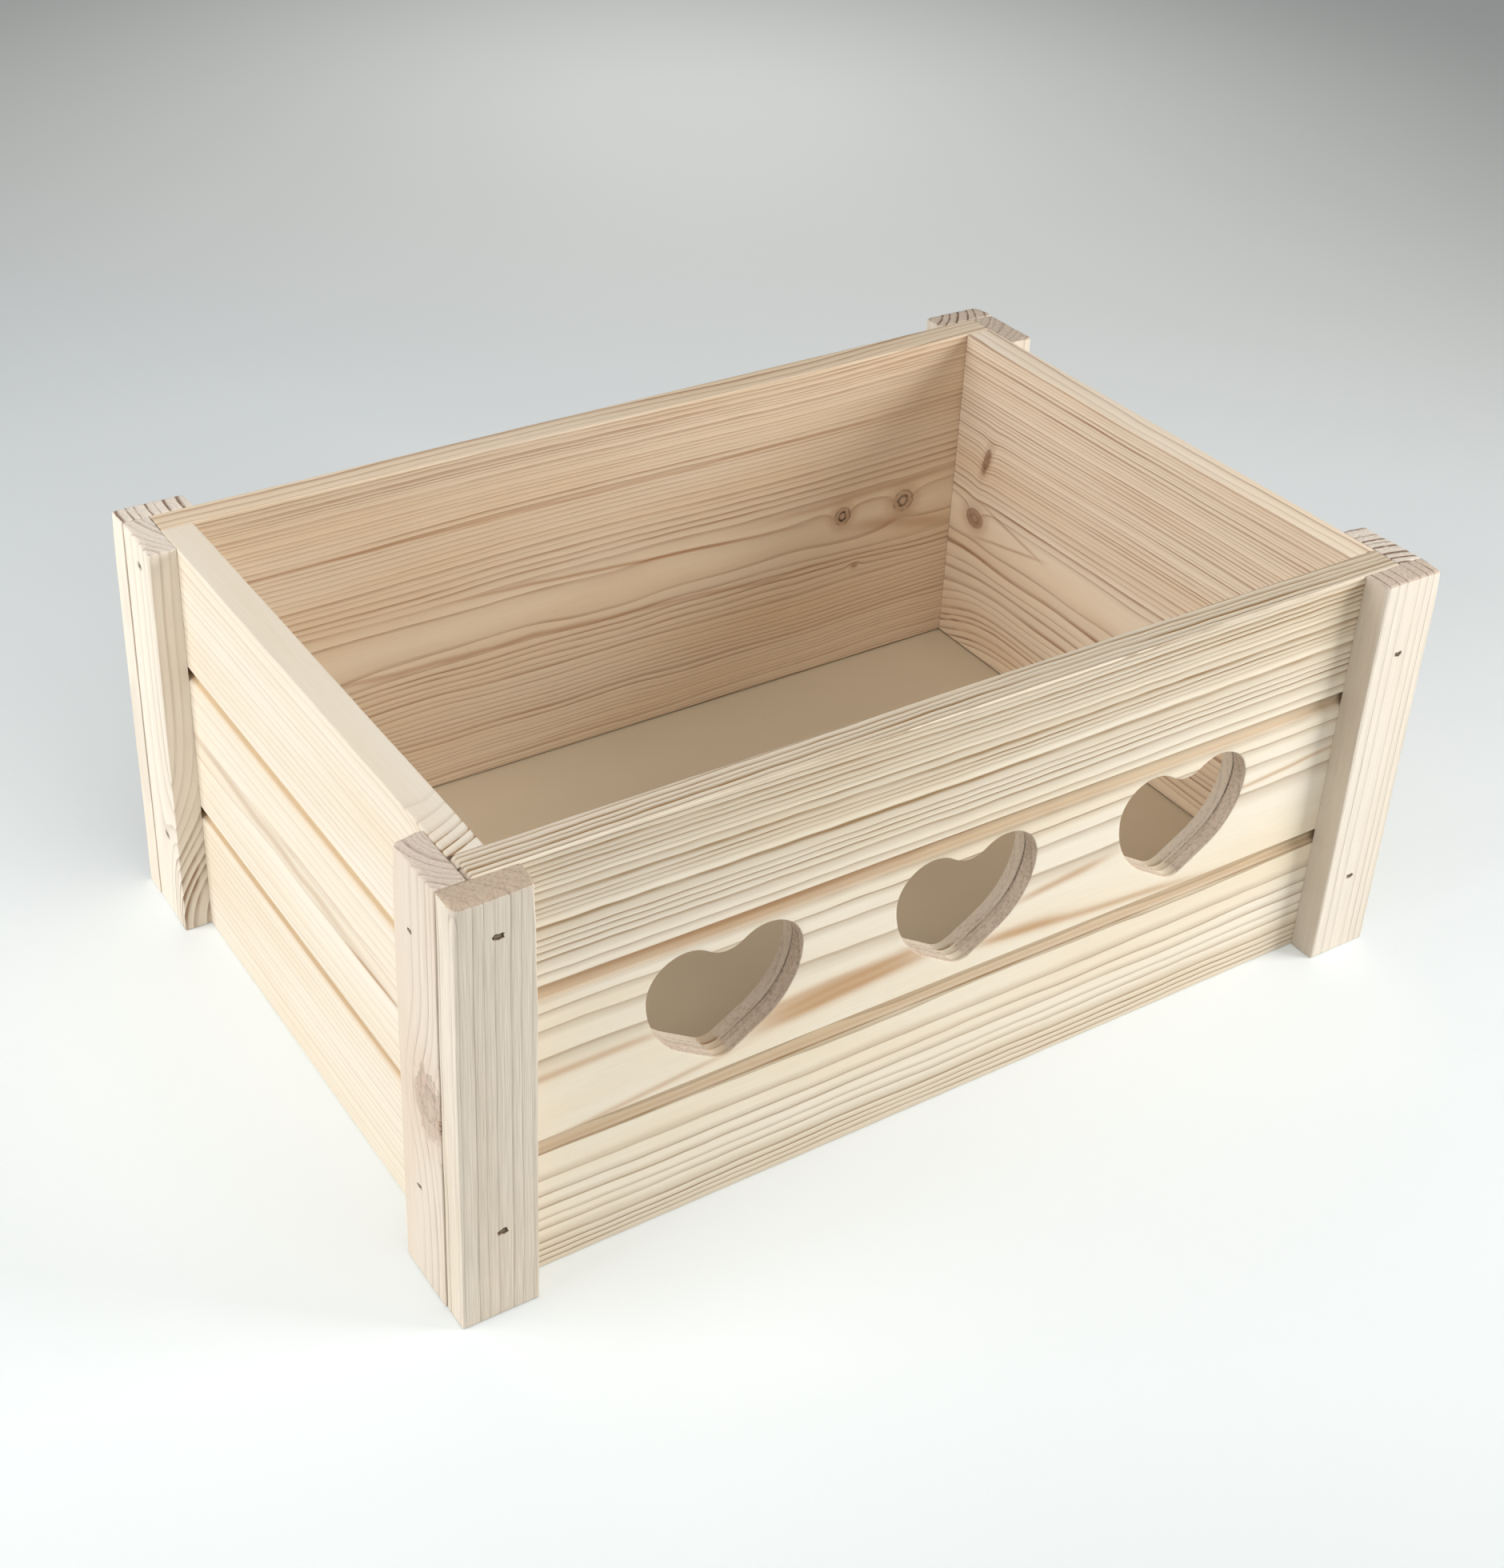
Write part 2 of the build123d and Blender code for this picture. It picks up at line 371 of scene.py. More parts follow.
class PineFinish:
    """Unfinished pine as solid wood: one pattern gives the faces, the edges and the end grain."""

    # Noises: size of a patch along and across the grain, which of many patterns, octaves of finer noise
    SWAY = (230.0, 70.0, 1.0)
    RIPPLE = (52.0, 17.0, 2.0)
    WOBBLE = (15.0, 6.0, 3.0)
    FADING = (75.0, 4.0, 4.0, 1.0)
    FIBRE = (24.0, 0.55, 5.0, 1.0)
    DRIFT = (160.0, 24.0, 7.0, 2.0)
    KNOT_EDGE = (4.2, 3.4, 9.0, 2.0)
    SPECK = (2.2, 1.3, 10.0, 3.0)
    TORN_END = (2.6, 0.8, 11.0, 1.0)
    BREAKS = (17.0, 3.0, 12.0, 1.0)
    RESIN_EDGE = (40.0, 9.0, 20.0, 2.0)

    # How far a surface faces along the grain before it shows end grain, and how ragged that edge is
    END_FACING = (0.3, 0.6)
    END_RAGGED = 0.2

    # Bends of the rings, as shares of the grain's waver, and how uneven their widths are
    RIPPLE_SHARE = 0.2
    RING_SPREAD = 0.9

    # A ring's line, in line widths back from its outside: its sharp edge, its dark part and its soft part
    LINE_EDGE = (0.0, 0.35)
    LINE_DARK = (0.4, 1.5)
    LINE_SOFT = (0.5, 4.5)

    # How much late wood, pores in it and loose fibres darken the surface
    LINE = 0.55
    PORE = 0.14
    FIBRE_SHADE = 0.05

    # How far late wood, fibres and the fuzz of end grain stand up
    RIDGE = 0.11
    FIBRE_RELIEF = 0.04
    END_FUZZ = 0.28

    # How softly a streak that lies inside the wood starts
    STREAK_START = 3.0

    # A knot, in its half sizes: where its halo and its core fade, and the middle and width of its dark rings
    HALO = (0.7, 2.3)
    CORE = (0.8, 1.05)
    RIM = (0.95, 0.1)
    EYE = (0.42, 0.13)

    # The painted shade and the steel's stain in a brad's slot: half sizes along and across the grain, its
    # edge, its start, its strength
    SLOT_DARK_LENGTH = 2.0
    SLOT_DARK_WIDTH = 2.9
    SLOT_DARK_EDGE = (0.9, 1.3)
    SLOT_DARK_FROM = (0.1, 0.7)
    SLOT_SHADE_AND_STAIN = 0.8

    # Where two cuts meet in a hole: how ragged that is, and the paler wood and the dark line of painted
    # shade there, which stands for the shadow in the step
    CUT_RAGGED = 0.25
    CUT_FADE = 0.8
    CUT_PALE = 0.45
    CUT_WIDTH = 0.55
    CUT_PAINTED_SHADE = 0.95

    # The darker, warmer floors of the grooves, partly the cutter's rough mark and partly painted shade of
    # the recess: softness of its edges, depths that it fills, strength
    MILLED_AND_SHADE_EDGE = (0.4, 0.6)
    MILLED_AND_SHADE_FROM = (0.5, 1.8)
    MILLED_AND_SHADE_TO = (3.0, 4.0)
    MILLED_AND_SHADE = 0.6

    def __init__(self, name: str, plank: Plank, grain: PineGrain, tone: PineTone) -> None:
        """Read the piece's own coordinates along, across and into the wood.

        Args:
            name: name of the material.
            plank: where the piece's wood lies.
            grain: how it grew.
            tone: its colours.
        """
        self.shader = Shader(name)
        self.plank = plank
        self.grain = grain
        self.tone = tone
        scale = plank.scale()
        sockets = {"Vector": self.shader.place["Object"], "Location": -plank.origin * scale, "Scale": scale}
        mapping = self.shader.add("ShaderNodeMapping", {"vector_type": "POINT"}, sockets)
        place = self.shader.split(mapping.outputs[0])
        facing = self.shader.split(self.shader.place["Normal"])
        along, across, depth = plank.lie.value
        self.along = place[along]
        self.across = place[across]
        self.depth = place[depth]
        self.facing_across = facing[across]
        self.facing_depth = facing[depth] * plank.inward
        self.point = self.shader.join({0: self.along, 1: self.across, 2: self.depth})
        ragged = self.noise(*self.TORN_END) * self.END_RAGGED
        self.end = (abs(facing[along]) + ragged).smooth(*self.END_FACING)

    def noise(self, length: float, width: float, turn: float, detail: float = 0.0) -> Channel:
        """Smooth noise between about -1 and 1.

        Args:
            length: size of its patches along the grain.
            width: size of its patches across the grain.
            turn: which of many such patterns, on top of the piece's own seed.
            detail: octaves of finer noise.

        Returns:
            The noise.
        """
        start = self.grain.seed * 13.7 + turn * 5.3
        stretched = self.shader.add(
            "ShaderNodeVectorMath",
            {"operation": "MULTIPLY_ADD"},
            {0: self.point, 1: (1 / length, 1 / width, 1 / width), 2: (start, start * 0.7, start * 0.3)},
        )
        return self.shader.mottle(stretched.outputs[0], 1.0, detail) * 2.0 - 1.0

    def knot_places(self) -> list[KnotPlace]:
        """Where each point is from each knot's middle.

        Returns:
            For each knot, the distance along, across and in all, in its half sizes.
        """
        found = []
        for knot in self.grain.knots:
            leaned = self.along - knot.along
            if knot.lean:
                leaned = leaned - (self.across - knot.across) * knot.lean
            if knot.dip:
                leaned = leaned - self.depth * knot.dip
            x = leaned / knot.half_length
            y = (self.across - knot.across) / knot.half_width
            found.append((x, y, (x * x + y * y).function("SQRT")))
        return found

    def ring_count(self, knots: list[KnotPlace]) -> tuple[Channel, Channel, Number]:
        """Rings counted out from the face beside the pith, bent round the knots and unevenly wide.

        Args:
            knots: the places from knot_places.

        Returns:
            The count, whose whole part is the ring, how squarely the surface cuts the rings, and rings a
            millimetre.
        """
        grain = self.grain
        ripple = self.noise(*self.RIPPLE)
        bends = self.noise(*self.SWAY) + ripple * self.RIPPLE_SHARE + self.noise(*self.WOBBLE) * grain.wobble
        across = self.across - grain.pith_across + bends * grain.waver
        depth = self.depth - grain.pith_depth + ripple * (grain.waver * self.RIPPLE_SHARE)
        if grain.squeeze != 1.0:
            across = across.at_least(0.0) + across.at_most(0.0) * grain.squeeze
        reach = (across * across + depth * depth).function("SQRT")
        radius = reach - abs(grain.pith_depth - grain.face_depth)
        for knot, (_, _, distance) in zip(grain.knots, knots):
            radius = radius + (distance / knot.reach).bell() * knot.lift
        count = radius / grain.ring_width
        density: Number = 1.0 / grain.ring_width
        if grain.crowding:
            count = count + radius * radius * grain.crowding
            density = (radius * (2.0 * grain.crowding)).at_least(0.0) + density
        uneven = self.shader.add(
            "ShaderNodeTexNoise",
            {"noise_dimensions": "1D"},
            {"W": count * 0.45 + grain.seed * 3.1, "Scale": 1.0, "Detail": 0.0},
        )
        spread = Channel(self.shader, uneven.outputs["Fac"]) * self.RING_SPREAD - self.RING_SPREAD / 2
        outwards = (self.facing_across * across + self.facing_depth * depth) / reach
        square = (1.0 - outwards * outwards).at_least(0.0).function("SQRT")
        return count + spread * abs(count).smooth(0.2, 1.5) + grain.phase, square, density

    def boldness(self, knots: list[KnotPlace]) -> Number:
        """How much bolder the rings are near the bold knots.

        Args:
            knots: the places from knot_places.

        Returns:
            What is added to their contrast.
        """
        bold: Number = 0.0
        for knot, (_, _, distance) in zip(self.grain.knots, knots):
            if knot.bold:
                bold = (distance / knot.reach).bell() * knot.bold + bold
        return bold

    def late_wood(
        self, count: Channel, square: Channel, density: Number, bold: Number
    ) -> tuple[Channel, Channel]:
        """The dark part of each ring, soft towards the pith and sharp on its outside.

        Args:
            count: the ring count.
            square: how squarely the surface cuts the rings.
            density: rings a millimetre.
            bold: how much bolder the rings are here.

        Returns:
            The soft part, and the sharp line with that ring's own strength.
        """
        ring = count.function("FLOOR")
        dice = self.shader.add(
            "ShaderNodeTexWhiteNoise", {"noise_dimensions": "1D"}, {"W": ring + self.grain.seed * 7.7}
        )
        luck = Channel(self.shader, dice.outputs["Value"])
        full = density * self.grain.line_width
        width = (square * 0.75 + 0.25) * (luck * 0.8 + 0.7) * full * (bold * 0.5 + 1.0)
        left = (1.0 - (count - ring)) / width
        edge = left.smooth(*self.LINE_EDGE)
        sharp = (1.0 - left.smooth(*self.LINE_DARK)) * edge
        soft = (1.0 - left.smooth(*self.LINE_SOFT)) * edge
        fading = self.noise(*self.FADING) * 0.8 + 0.8 + self.noise(*self.BREAKS) * 0.3
        clear = (square.smooth(0.0, self.grain.flat_fade) + bold * 0.5).at_most(1.0)
        return soft, sharp * (luck * 0.75 + 0.35) * fading.at_least(0.0) * clear

    def streaked(self, colour: Any, late: Channel) -> Any:
        """Put the piece's resin streaks on.

        Args:
            colour: the wood's colour so far.
            late: how much of it is late wood.

        Returns:
            The new colour.
        """
        if not self.grain.streaks:
            return colour
        ragged = self.noise(*self.RESIN_EDGE)
        for streak in self.grain.streaks:
            along = self.along - streak.along
            across = self.across - streak.across - along * streak.slope + ragged * streak.ragged
            length = along / streak.half_length
            body = (length * length).bell() * (across / streak.half_width).bell()
            share = body * (late * 0.5 + 0.8) * streak.strength
            if streak.beyond > 0.0:
                soft = self.STREAK_START
                share = share * self.depth.smooth(streak.beyond - soft, streak.beyond + soft)
            colour = self.shader.mix(share.at_most(1.0), colour, hue(self.tone.resin))
        return colour

    def milled_and_shaded(self, colour: Any) -> Any:
        """Darken and warm the floors of the grooves: partly the cutter's rough mark, partly painted shade of
        the recess.

        Args:
            colour: the wood's colour so far.

        Returns:
            The new colour.
        """
        outer, inner = self.MILLED_AND_SHADE_EDGE
        for low, high in self.grain.milled_bands:
            above = self.across.smooth(low - outer, low + inner)
            band = above * (1.0 - self.across.smooth(high - inner, high + outer))
            cut = self.depth.smooth(*self.MILLED_AND_SHADE_FROM) * (1.0 - self.depth.smooth(*self.MILLED_AND_SHADE_TO))
            # painted shade of the recess, with the cutter's mark: the groove floor is multiplied darker and
            # warmer
            colour = self.shader.mix(band * cut * self.MILLED_AND_SHADE, colour, hue(self.tone.milled_and_shaded), "MULTIPLY")
        return colour

    def knotted(self, colour: Any, knots: list[KnotPlace]) -> Any:
        """Put the piece's knots on.

        Args:
            colour: the wood's colour so far.
            knots: the places from knot_places.

        Returns:
            The new colour.
        """
        shown = [(knot, place) for knot, place in zip(self.grain.knots, knots) if knot.dark]
        if not shown:
            return colour
        mix, tone = self.shader.mix, self.tone
        (rim_at, rim_width), (eye_at, eye_width) = self.RIM, self.EYE
        ragged = self.noise(*self.KNOT_EDGE)
        for knot, (x, _, distance) in shown:
            rough = distance + ragged * knot.rough
            broken = (ragged * 1.6 + 0.6 + x * 0.3).smooth(0.0, 1.0)
            halo = (1.0 - rough.smooth(*self.HALO)) * (0.35 * knot.dark)
            core = (1.0 - rough.smooth(*self.CORE)) * ((0.75 - 0.45 * knot.eye) * knot.dark)
            rim = ((rough - rim_at) / rim_width).bell() * broken * (0.45 + 0.15 * knot.eye)
            eye = ((rough - eye_at) / eye_width).bell() * (1.3 - broken * 0.6) * (0.25 + 0.6 * knot.eye)
            colour = mix(halo, colour, hue(tone.resin))
            colour = mix(core, colour, hue(tone.knot))
            colour = mix((rim + eye).at_most(1.0) * knot.dark, colour, hue(tone.bark))
        return colour

    def shaded_and_stained_slots(self, colour: Any) -> Any:
        """Darken the walls of the brads' slots: painted shade of the holes, with the steel's stain.

        Args:
            colour: the wood's colour so far.

        Returns:
            The new colour.
        """
        along, across, _ = self.plank.lie.value
        for slot in self.plank.slots:
            from_slot = (slot - self.plank.origin) / MM
            x = (self.along - from_slot[along]) / self.SLOT_DARK_LENGTH
            y = (self.across - from_slot[across]) / self.SLOT_DARK_WIDTH
            inside = 1.0 - (x * x + y * y).smooth(*self.SLOT_DARK_EDGE)
            # painted shade of the hole, with the steel's stain, on the slot's walls below the face
            share = inside * self.depth.smooth(*self.SLOT_DARK_FROM) * self.SLOT_SHADE_AND_STAIN
            colour = self.shader.mix(share, colour, hue(self.tone.slot_shade_and_stain))
        return colour

    def end_grain(self, soft: Channel, sharp: Channel, speck: Channel) -> bpy.types.NodeSocket:
        """Colour of the ends and of the walls of holes.

        Args:
            soft: the soft part of the late wood.
            sharp: its sharp lines.
            speck: noise of the torn ends of the fibres.

        Returns:
            The colour.
        """
        shader, tone, grain = self.shader, self.tone, self.grain
        line = (soft * 0.1 + sharp * grain.end_contrast + speck * grain.fuzz + 0.06).at_least(0.0)
        colour = shader.mix(line.at_most(1.0), hue(tone.end_early), hue(tone.end_late))
        if grain.cut_depth:
            past = self.depth - grain.cut_depth + speck * self.CUT_RAGGED
            colour = shader.mix(past.smooth(0.0, self.CUT_FADE) * self.CUT_PALE, colour, hue(tone.early))
            # painted shade: the dark line where the two cuts meet stands for the shadow in the step there
            colour = shader.mix((past / self.CUT_WIDTH).bell() * self.CUT_PAINTED_SHADE, colour, hue(tone.bark))
        return colour

    def make(self) -> bpy.types.Material:
        """Build the material.

        Returns:
            The finished material.
        """
        shader, tone, grain, end = self.shader, self.tone, self.grain, self.end
        knots = self.knot_places()
        bold = self.boldness(knots)
        soft, sharp = self.late_wood(*self.ring_count(knots), bold)
        late = (soft * grain.softness + sharp * self.LINE).at_most(1.0)
        fibre = self.noise(*self.FIBRE)
        drift = self.noise(*self.DRIFT)
        speck = self.noise(*self.SPECK)

        colour = shader.mix((drift * 0.9 + 0.4).smooth(0.0, 1.0), hue(tone.early), hue(tone.warm))
        colour = shader.mix((late * (bold + grain.contrast)).at_most(1.0), colour, hue(tone.late))
        colour = self.knotted(self.milled_and_shaded(self.streaked(colour, late)), knots)
        pores = fibre.smooth(0.3, 0.6) * late
        grey = fibre * (self.FIBRE_SHADE * grain.fibres) + 0.985 - pores * self.PORE
        shade = shader.add("ShaderNodeCombineColor", {}, {0: grey, 1: grey, 2: grey})
        colour = shader.mix(1.0, colour, shade.outputs[0], "MULTIPLY")
        colour = self.shaded_and_stained_slots(shader.mix(end, colour, self.end_grain(soft, sharp, speck)))

        torn = fibre * (self.FIBRE_RELIEF * (0.5 + 0.5 * grain.fibres))
        face_height = (soft * 0.25 + sharp) * (self.RIDGE * grain.relief) + torn
        height = face_height * (1.0 - end) + (speck + sharp * 0.4) * end * self.END_FUZZ
        return shader.finish(
            {
                "Base Color": colour,
                "Roughness": 0.68 - late * 0.1 + fibre * 0.05 + end * 0.16,
                "Specular IOR Level": 0.3,
                "Normal": shader.bump(1.0, MM, height),
            }
        )


@dataclass(frozen=True)
class SheetFinish:
    """The floor panel's smooth pressed sheet, with a faint mottle and lengthwise fibres."""

    pale: str = "d1c1a8"
    deep: str = "cab99e"
    stretch: tuple[float, float, float] = (26.0, 60.0, 60.0)

    def make(self) -> bpy.types.Material:
        """Build the material.

        Returns:
            The finished material.
        """
        shader = Shader("pressed_sheet")
        sockets = {"Vector": shader.place["Object"], "Scale": self.stretch}
        stretched = shader.add("ShaderNodeMapping", {}, sockets).outputs[0]
        cloud = shader.mottle(stretched, 1.0, 3.0)
        speck = shader.mottle(stretched, 38.0, 2.0)
        return shader.finish(
            {
                "Base Color": shader.mix(cloud * 0.4 + speck * 0.4, hue(self.pale), hue(self.deep)),
                "Roughness": 0.55 + speck * 0.12,
                "Specular IOR Level": 0.35,
                "Normal": shader.bump(0.6, 0.05 * MM, speck),
            }
        )


@dataclass(frozen=True)
class BradFinish:
    """Dull steel of the brads, browned where it has been in damp wood."""

    steel: str = "85765f"
    brown: str = "6e5c45"
    spots: float = 1400.0

    def make(self) -> bpy.types.Material:
        """Build the material.

        Returns:
            The finished material.
        """
        shader = Shader("brad_steel")
        spots = shader.mottle(shader.place["Object"], self.spots, 3.0)
        return shader.finish(
            {
                "Base Color": shader.mix(spots.smooth(0.35, 0.6), hue(self.steel), hue(self.brown)),
                "Metallic": 0.25 - spots.smooth(0.4, 0.62) * 0.2,
                "Roughness": 0.42 + spots * 0.3,
                "Normal": shader.bump(0.5, 0.08 * MM, spots),
            }
        )


def grow(name: str, shape: bmesh.types.BMesh) -> bpy.types.Object:
    """Put a bmesh into the scene as an object.

    Args:
        name: name of the object and its mesh.
        shape: the mesh, which is freed.

    Returns:
        The new object.
    """
    mesh = bpy.data.meshes.new(name)
    shape.to_mesh(mesh)
    shape.free()
    made = bpy.data.objects.new(name, mesh)
    bpy.context.scene.collection.objects.link(made)
    return made


def settle(piece: bpy.types.Object) -> None:
    """Turn a piece and its modifiers into a plain mesh.

    Args:
        piece: the piece, whose mesh is replaced.
    """
    bpy.context.view_layer.update()
    evaluated = piece.evaluated_get(bpy.context.evaluated_depsgraph_get())
    mesh = bpy.data.meshes.new_from_object(evaluated)
    piece.modifiers.clear()
    old = piece.data
    name = old.name
    piece.data = mesh
    bpy.data.meshes.remove(old)
    mesh.name = name


def carve(piece: bpy.types.Object, cutters: list[bmesh.types.BMesh]) -> None:
    """Cut shapes out of a piece.

    Args:
        piece: what is cut.
        cutters: closed shapes, which are freed.
    """
    tools = [grow(f"{piece.name}_cutter", cutter) for cutter in cutters]
    for tool in tools:
        cut = piece.modifiers.new("cut", "BOOLEAN")
        cut.operation = "DIFFERENCE"
        cut.solver = "EXACT"
        cut.object = tool
    settle(piece)
    for tool in tools:
        mesh = tool.data
        bpy.data.objects.remove(tool)
        bpy.data.meshes.remove(mesh)


def mend(shape: bmesh.types.BMesh) -> None:
    """Take out faces without area, and split faces with many corners into even triangles.

    Args:
        shape: the mesh, which is changed.
    """
    bmesh.ops.dissolve_degenerate(shape, dist=SHORTEST_EDGE, edges=shape.edges)
    wide = [face for face in shape.faces if len(face.verts) > 4]
    bmesh.ops.triangulate(shape, faces=wide, ngon_method="BEAUTY")


def soften(piece: bpy.types.Object, sharp_over: float = 34.0) -> None:
    """Shade a piece smoothly across its rounded arrises and flat on its faces.

    Args:
        piece: the piece, whose mesh is changed.
        sharp_over: an edge that turns by more degrees than this stays sharp.
    """
    shape = bmesh.new()
    shape.from_mesh(piece.data)
    mend(shape)
    shape.to_mesh(piece.data)
    shape.free()
    piece.data.shade_smooth()
    piece.data.set_sharp_from_angle(angle=math.radians(sharp_over))
    weighted = piece.modifiers.new("even_faces", "WEIGHTED_NORMAL")
    weighted.keep_sharp = True
    settle(piece)


def dress(piece: bpy.types.Object, finish: bpy.types.Material, slot: str, *nodes: str) -> None:
    """Give a piece its finish and its place in the frame.

    Args:
        piece: the finished mesh.
        finish: its material.
        slot: the record's material slot; not used.
        nodes: the nodes that it stands for.
    """
    piece.data.materials.clear()
    piece.data.materials.append(finish)
    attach(piece, BODY)
    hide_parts(*nodes)
    log.info("%s: %d faces for %s", piece.name, len(piece.data.polygons), ", ".join(nodes))


def skin(rings: list[list[Vector]]) -> bmesh.types.BMesh:
    """Join rings of points into a closed shape with flat ends.

    Args:
        rings: loops with the same number of points each.

    Returns:
        The shape, facing outwards.
    """
    shape = bmesh.new()
    loops = [[shape.verts.new(point) for point in ring] for ring in rings]
    count = len(rings[0])
    for first, second in zip(loops, loops[1:]):
        for i in range(count):
            j = (i + 1) % count
            shape.faces.new((first[i], first[j], second[j], second[i]))
    shape.faces.new(loops[0])
    shape.faces.new(loops[-1])
    bmesh.ops.recalc_face_normals(shape, faces=shape.faces)
    mend(shape)
    return shape


@dataclass(frozen=True)
class Corner:
    """One corner of a board's section: its depth and height, and the radius that rounds it."""

    depth: float
    height: float
    radius: float


@dataclass(frozen=True)
class Section:
    """A board's closed section, as corners in order."""

    corners: tuple[Corner, ...]
    arc_steps: int = 4
    margin: float = 0.5 * MM
    pitch: float = 8 * MM

    def outline(self, worn: Callable[[Corner], float]) -> list[Vector]:
        """Points round the section, always as many.

        Args:
            worn: gives the radius that a corner has worn to.

        Returns:
            Depth and height of each point.
        """
        arcs = [self.arc(i, worn(corner)) for i, corner in enumerate(self.corners)]
        points: list[Vector] = []
        for i, arc in enumerate(arcs):
            after = self.corners[(i + 1) % len(self.corners)]
            here = self.corners[i]
            start, end = arc[-1], arcs[(i + 1) % len(arcs)][0]
            span = math.hypot(after.depth - here.depth, after.height - here.height)
            points.extend(arc)
            if span > 8 * self.margin:
                edge = (end - start).normalized() * self.margin
                inner = int(span / self.pitch)
                points.append(start + edge)
                points.extend(start.lerp(end, (k + 1) / (inner + 1)) for k in range(inner))
                points.append(end - edge)
        return points

    def arc(self, number: int, radius: float) -> list[Vector]:
        """One rounded corner.

        Args:
            number: which of the corners.
            radius: how far it is rounded.

        Returns:
            Depth and height of its points, from the first to the last.
        """
        here = self.corners[number]
        before = self.corners[number - 1]
        after = self.corners[(number + 1) % len(self.corners)]
        middle = Vector((here.depth, here.height))
        back = (Vector((before.depth, before.height)) - middle).normalized()
        ahead = (Vector((after.depth, after.height)) - middle).normalized()
        half = back.angle(ahead) / 2
        centre = middle + (back + ahead).normalized() * (radius / math.sin(half))
        first = middle + back * (radius / math.tan(half)) - centre
        last = middle + ahead * (radius / math.tan(half)) - centre
        turn = first.angle_signed(last)
        arc = []
        for step in range(self.arc_steps + 1):
            angle = -turn * step / self.arc_steps
            cosine, sine = math.cos(angle), math.sin(angle)
            arm = Vector((first.x * cosine - first.y * sine, first.x * sine + first.y * cosine))
            arc.append(centre + arm)
        return arc


@dataclass(frozen=True)
class Heart:
    """Outline of the heart cut-outs: a hollow notch, round lobes, full flanks and a blunt tip."""

    width: float = 67 * MM
    height: float = 55 * MM
    lobe_radius: float = 16 * MM
    notch_depth: float = 6 * MM
    tip_radius: float = 8 * MM
    flank_turn: float = math.radians(58)
    meeting: float = 0.52
    step: float = 0.5 * MM
    gap: float = 0.45 * MM
    steps: int = 14

    def right_half(self) -> list[Vector]:
        """Draw the right half from the notch to the tip, as arcs that run on into each other.

        Returns:
            Points about the heart's middle.
        """
        half = self.width / 2
        lobe_reach = half - self.lobe_radius
        notch_turn = 2 * math.atan(self.notch_depth / lobe_reach)
        notch_radius = lobe_reach / math.sin(notch_turn) - self.lobe_radius
        turn = self.flank_turn
        tip_drop = self.tip_radius * (1 - math.sin(turn))
        tip_reach = self.tip_radius * math.cos(turn)
        fall = self.height - self.lobe_radius - tip_drop - (half - tip_reach) / math.tan(turn)
        flank_radius = fall * math.sin(turn) / (1 - math.cos(turn))
        run = (half - flank_radius * (1 - math.cos(turn)) - tip_reach) / math.sin(turn)
        place = Vector((0.0, self.height / 2 - self.notch_depth))
        heading = 0.0
        points = [place.copy()]
        path = (
            (notch_radius, notch_turn),
            (self.lobe_radius, -notch_turn - math.pi / 2),
            (flank_radius, -turn),
            (run, 0.0),
            (self.tip_radius, turn - math.pi / 2),
        )
        for size, bend in path:
            count = self.steps if bend else 2
            chord = 2 * size * math.sin(abs(bend) / 2 / count) if bend else size / count
            for _ in range(count):
                heading += bend / count / 2
                place = place + Vector((math.cos(heading), math.sin(heading))) * chord
                heading += bend / count / 2
                points.append(place.copy())
        return points

    def outline(self) -> list[Vector]:
        """Points all the way round."""
        right = self.right_half()
        return right + [Vector((-point.x, point.y)) for point in reversed(right[1:-1])]

    def cutter(self, middle: Vector, depth: float, rim: float) -> bmesh.types.BMesh:
        """A plug that cuts the heart through a board, with eased rims and a step where two cuts meet.

        Args:
            middle: the heart's middle on the board's outer face.
            depth: the board's thickness, inwards along +Y.
            rim: how far the rims are eased.

        Returns:
            The plug.
        """
        outline = self.outline()
        count = len(outline)
        outward = []
        for i, point in enumerate(outline):
            along = outline[(i + 1) % count] - outline[i - 1]
            outward.append(Vector((-along.y, along.x)).normalized())
        reach = 2 * rim
        profile = (
            (-reach, rim + reach),
            (0.0, rim),
            (0.3 * rim, 0.4 * rim),
            (rim, 0.0),
            (self.meeting * depth - self.gap, 0.0),
            (self.meeting * depth, self.gap + self.step),
            (self.meeting * depth + 0.6 * self.gap, self.step),
            (depth - rim, self.step),
            (depth - 0.3 * rim, self.step + 0.4 * rim),
            (depth, self.step + rim),
            (depth + reach, self.step + rim + reach),
        )
        rings = []
        for inward, grown in profile:
            flat = [point + out * grown for point, out in zip(outline, outward)]
            rings.append([middle + Vector((point.x, inward, point.y)) for point in flat])
        return skin(rings)


def spaced(low: float, high: float, near: tuple[float, ...], pitch: float) -> list[float]:
    """Places from low to high that lie close together at both ends.

    Args:
        low: the first place.
        high: the last place.
        near: how far in from each end the close ones lie, in millimetres.
        pitch: about how far apart the others are.

    Returns:
        The places in order.
    """
    first = [low + step * MM for step in near]
    last = [high - step * MM for step in reversed(near)]
    count = max(2, round((last[0] - first[-1]) / pitch))
    between = [first[-1] + (last[0] - first[-1]) * k / count for k in range(1, count)]
    return first + between + last


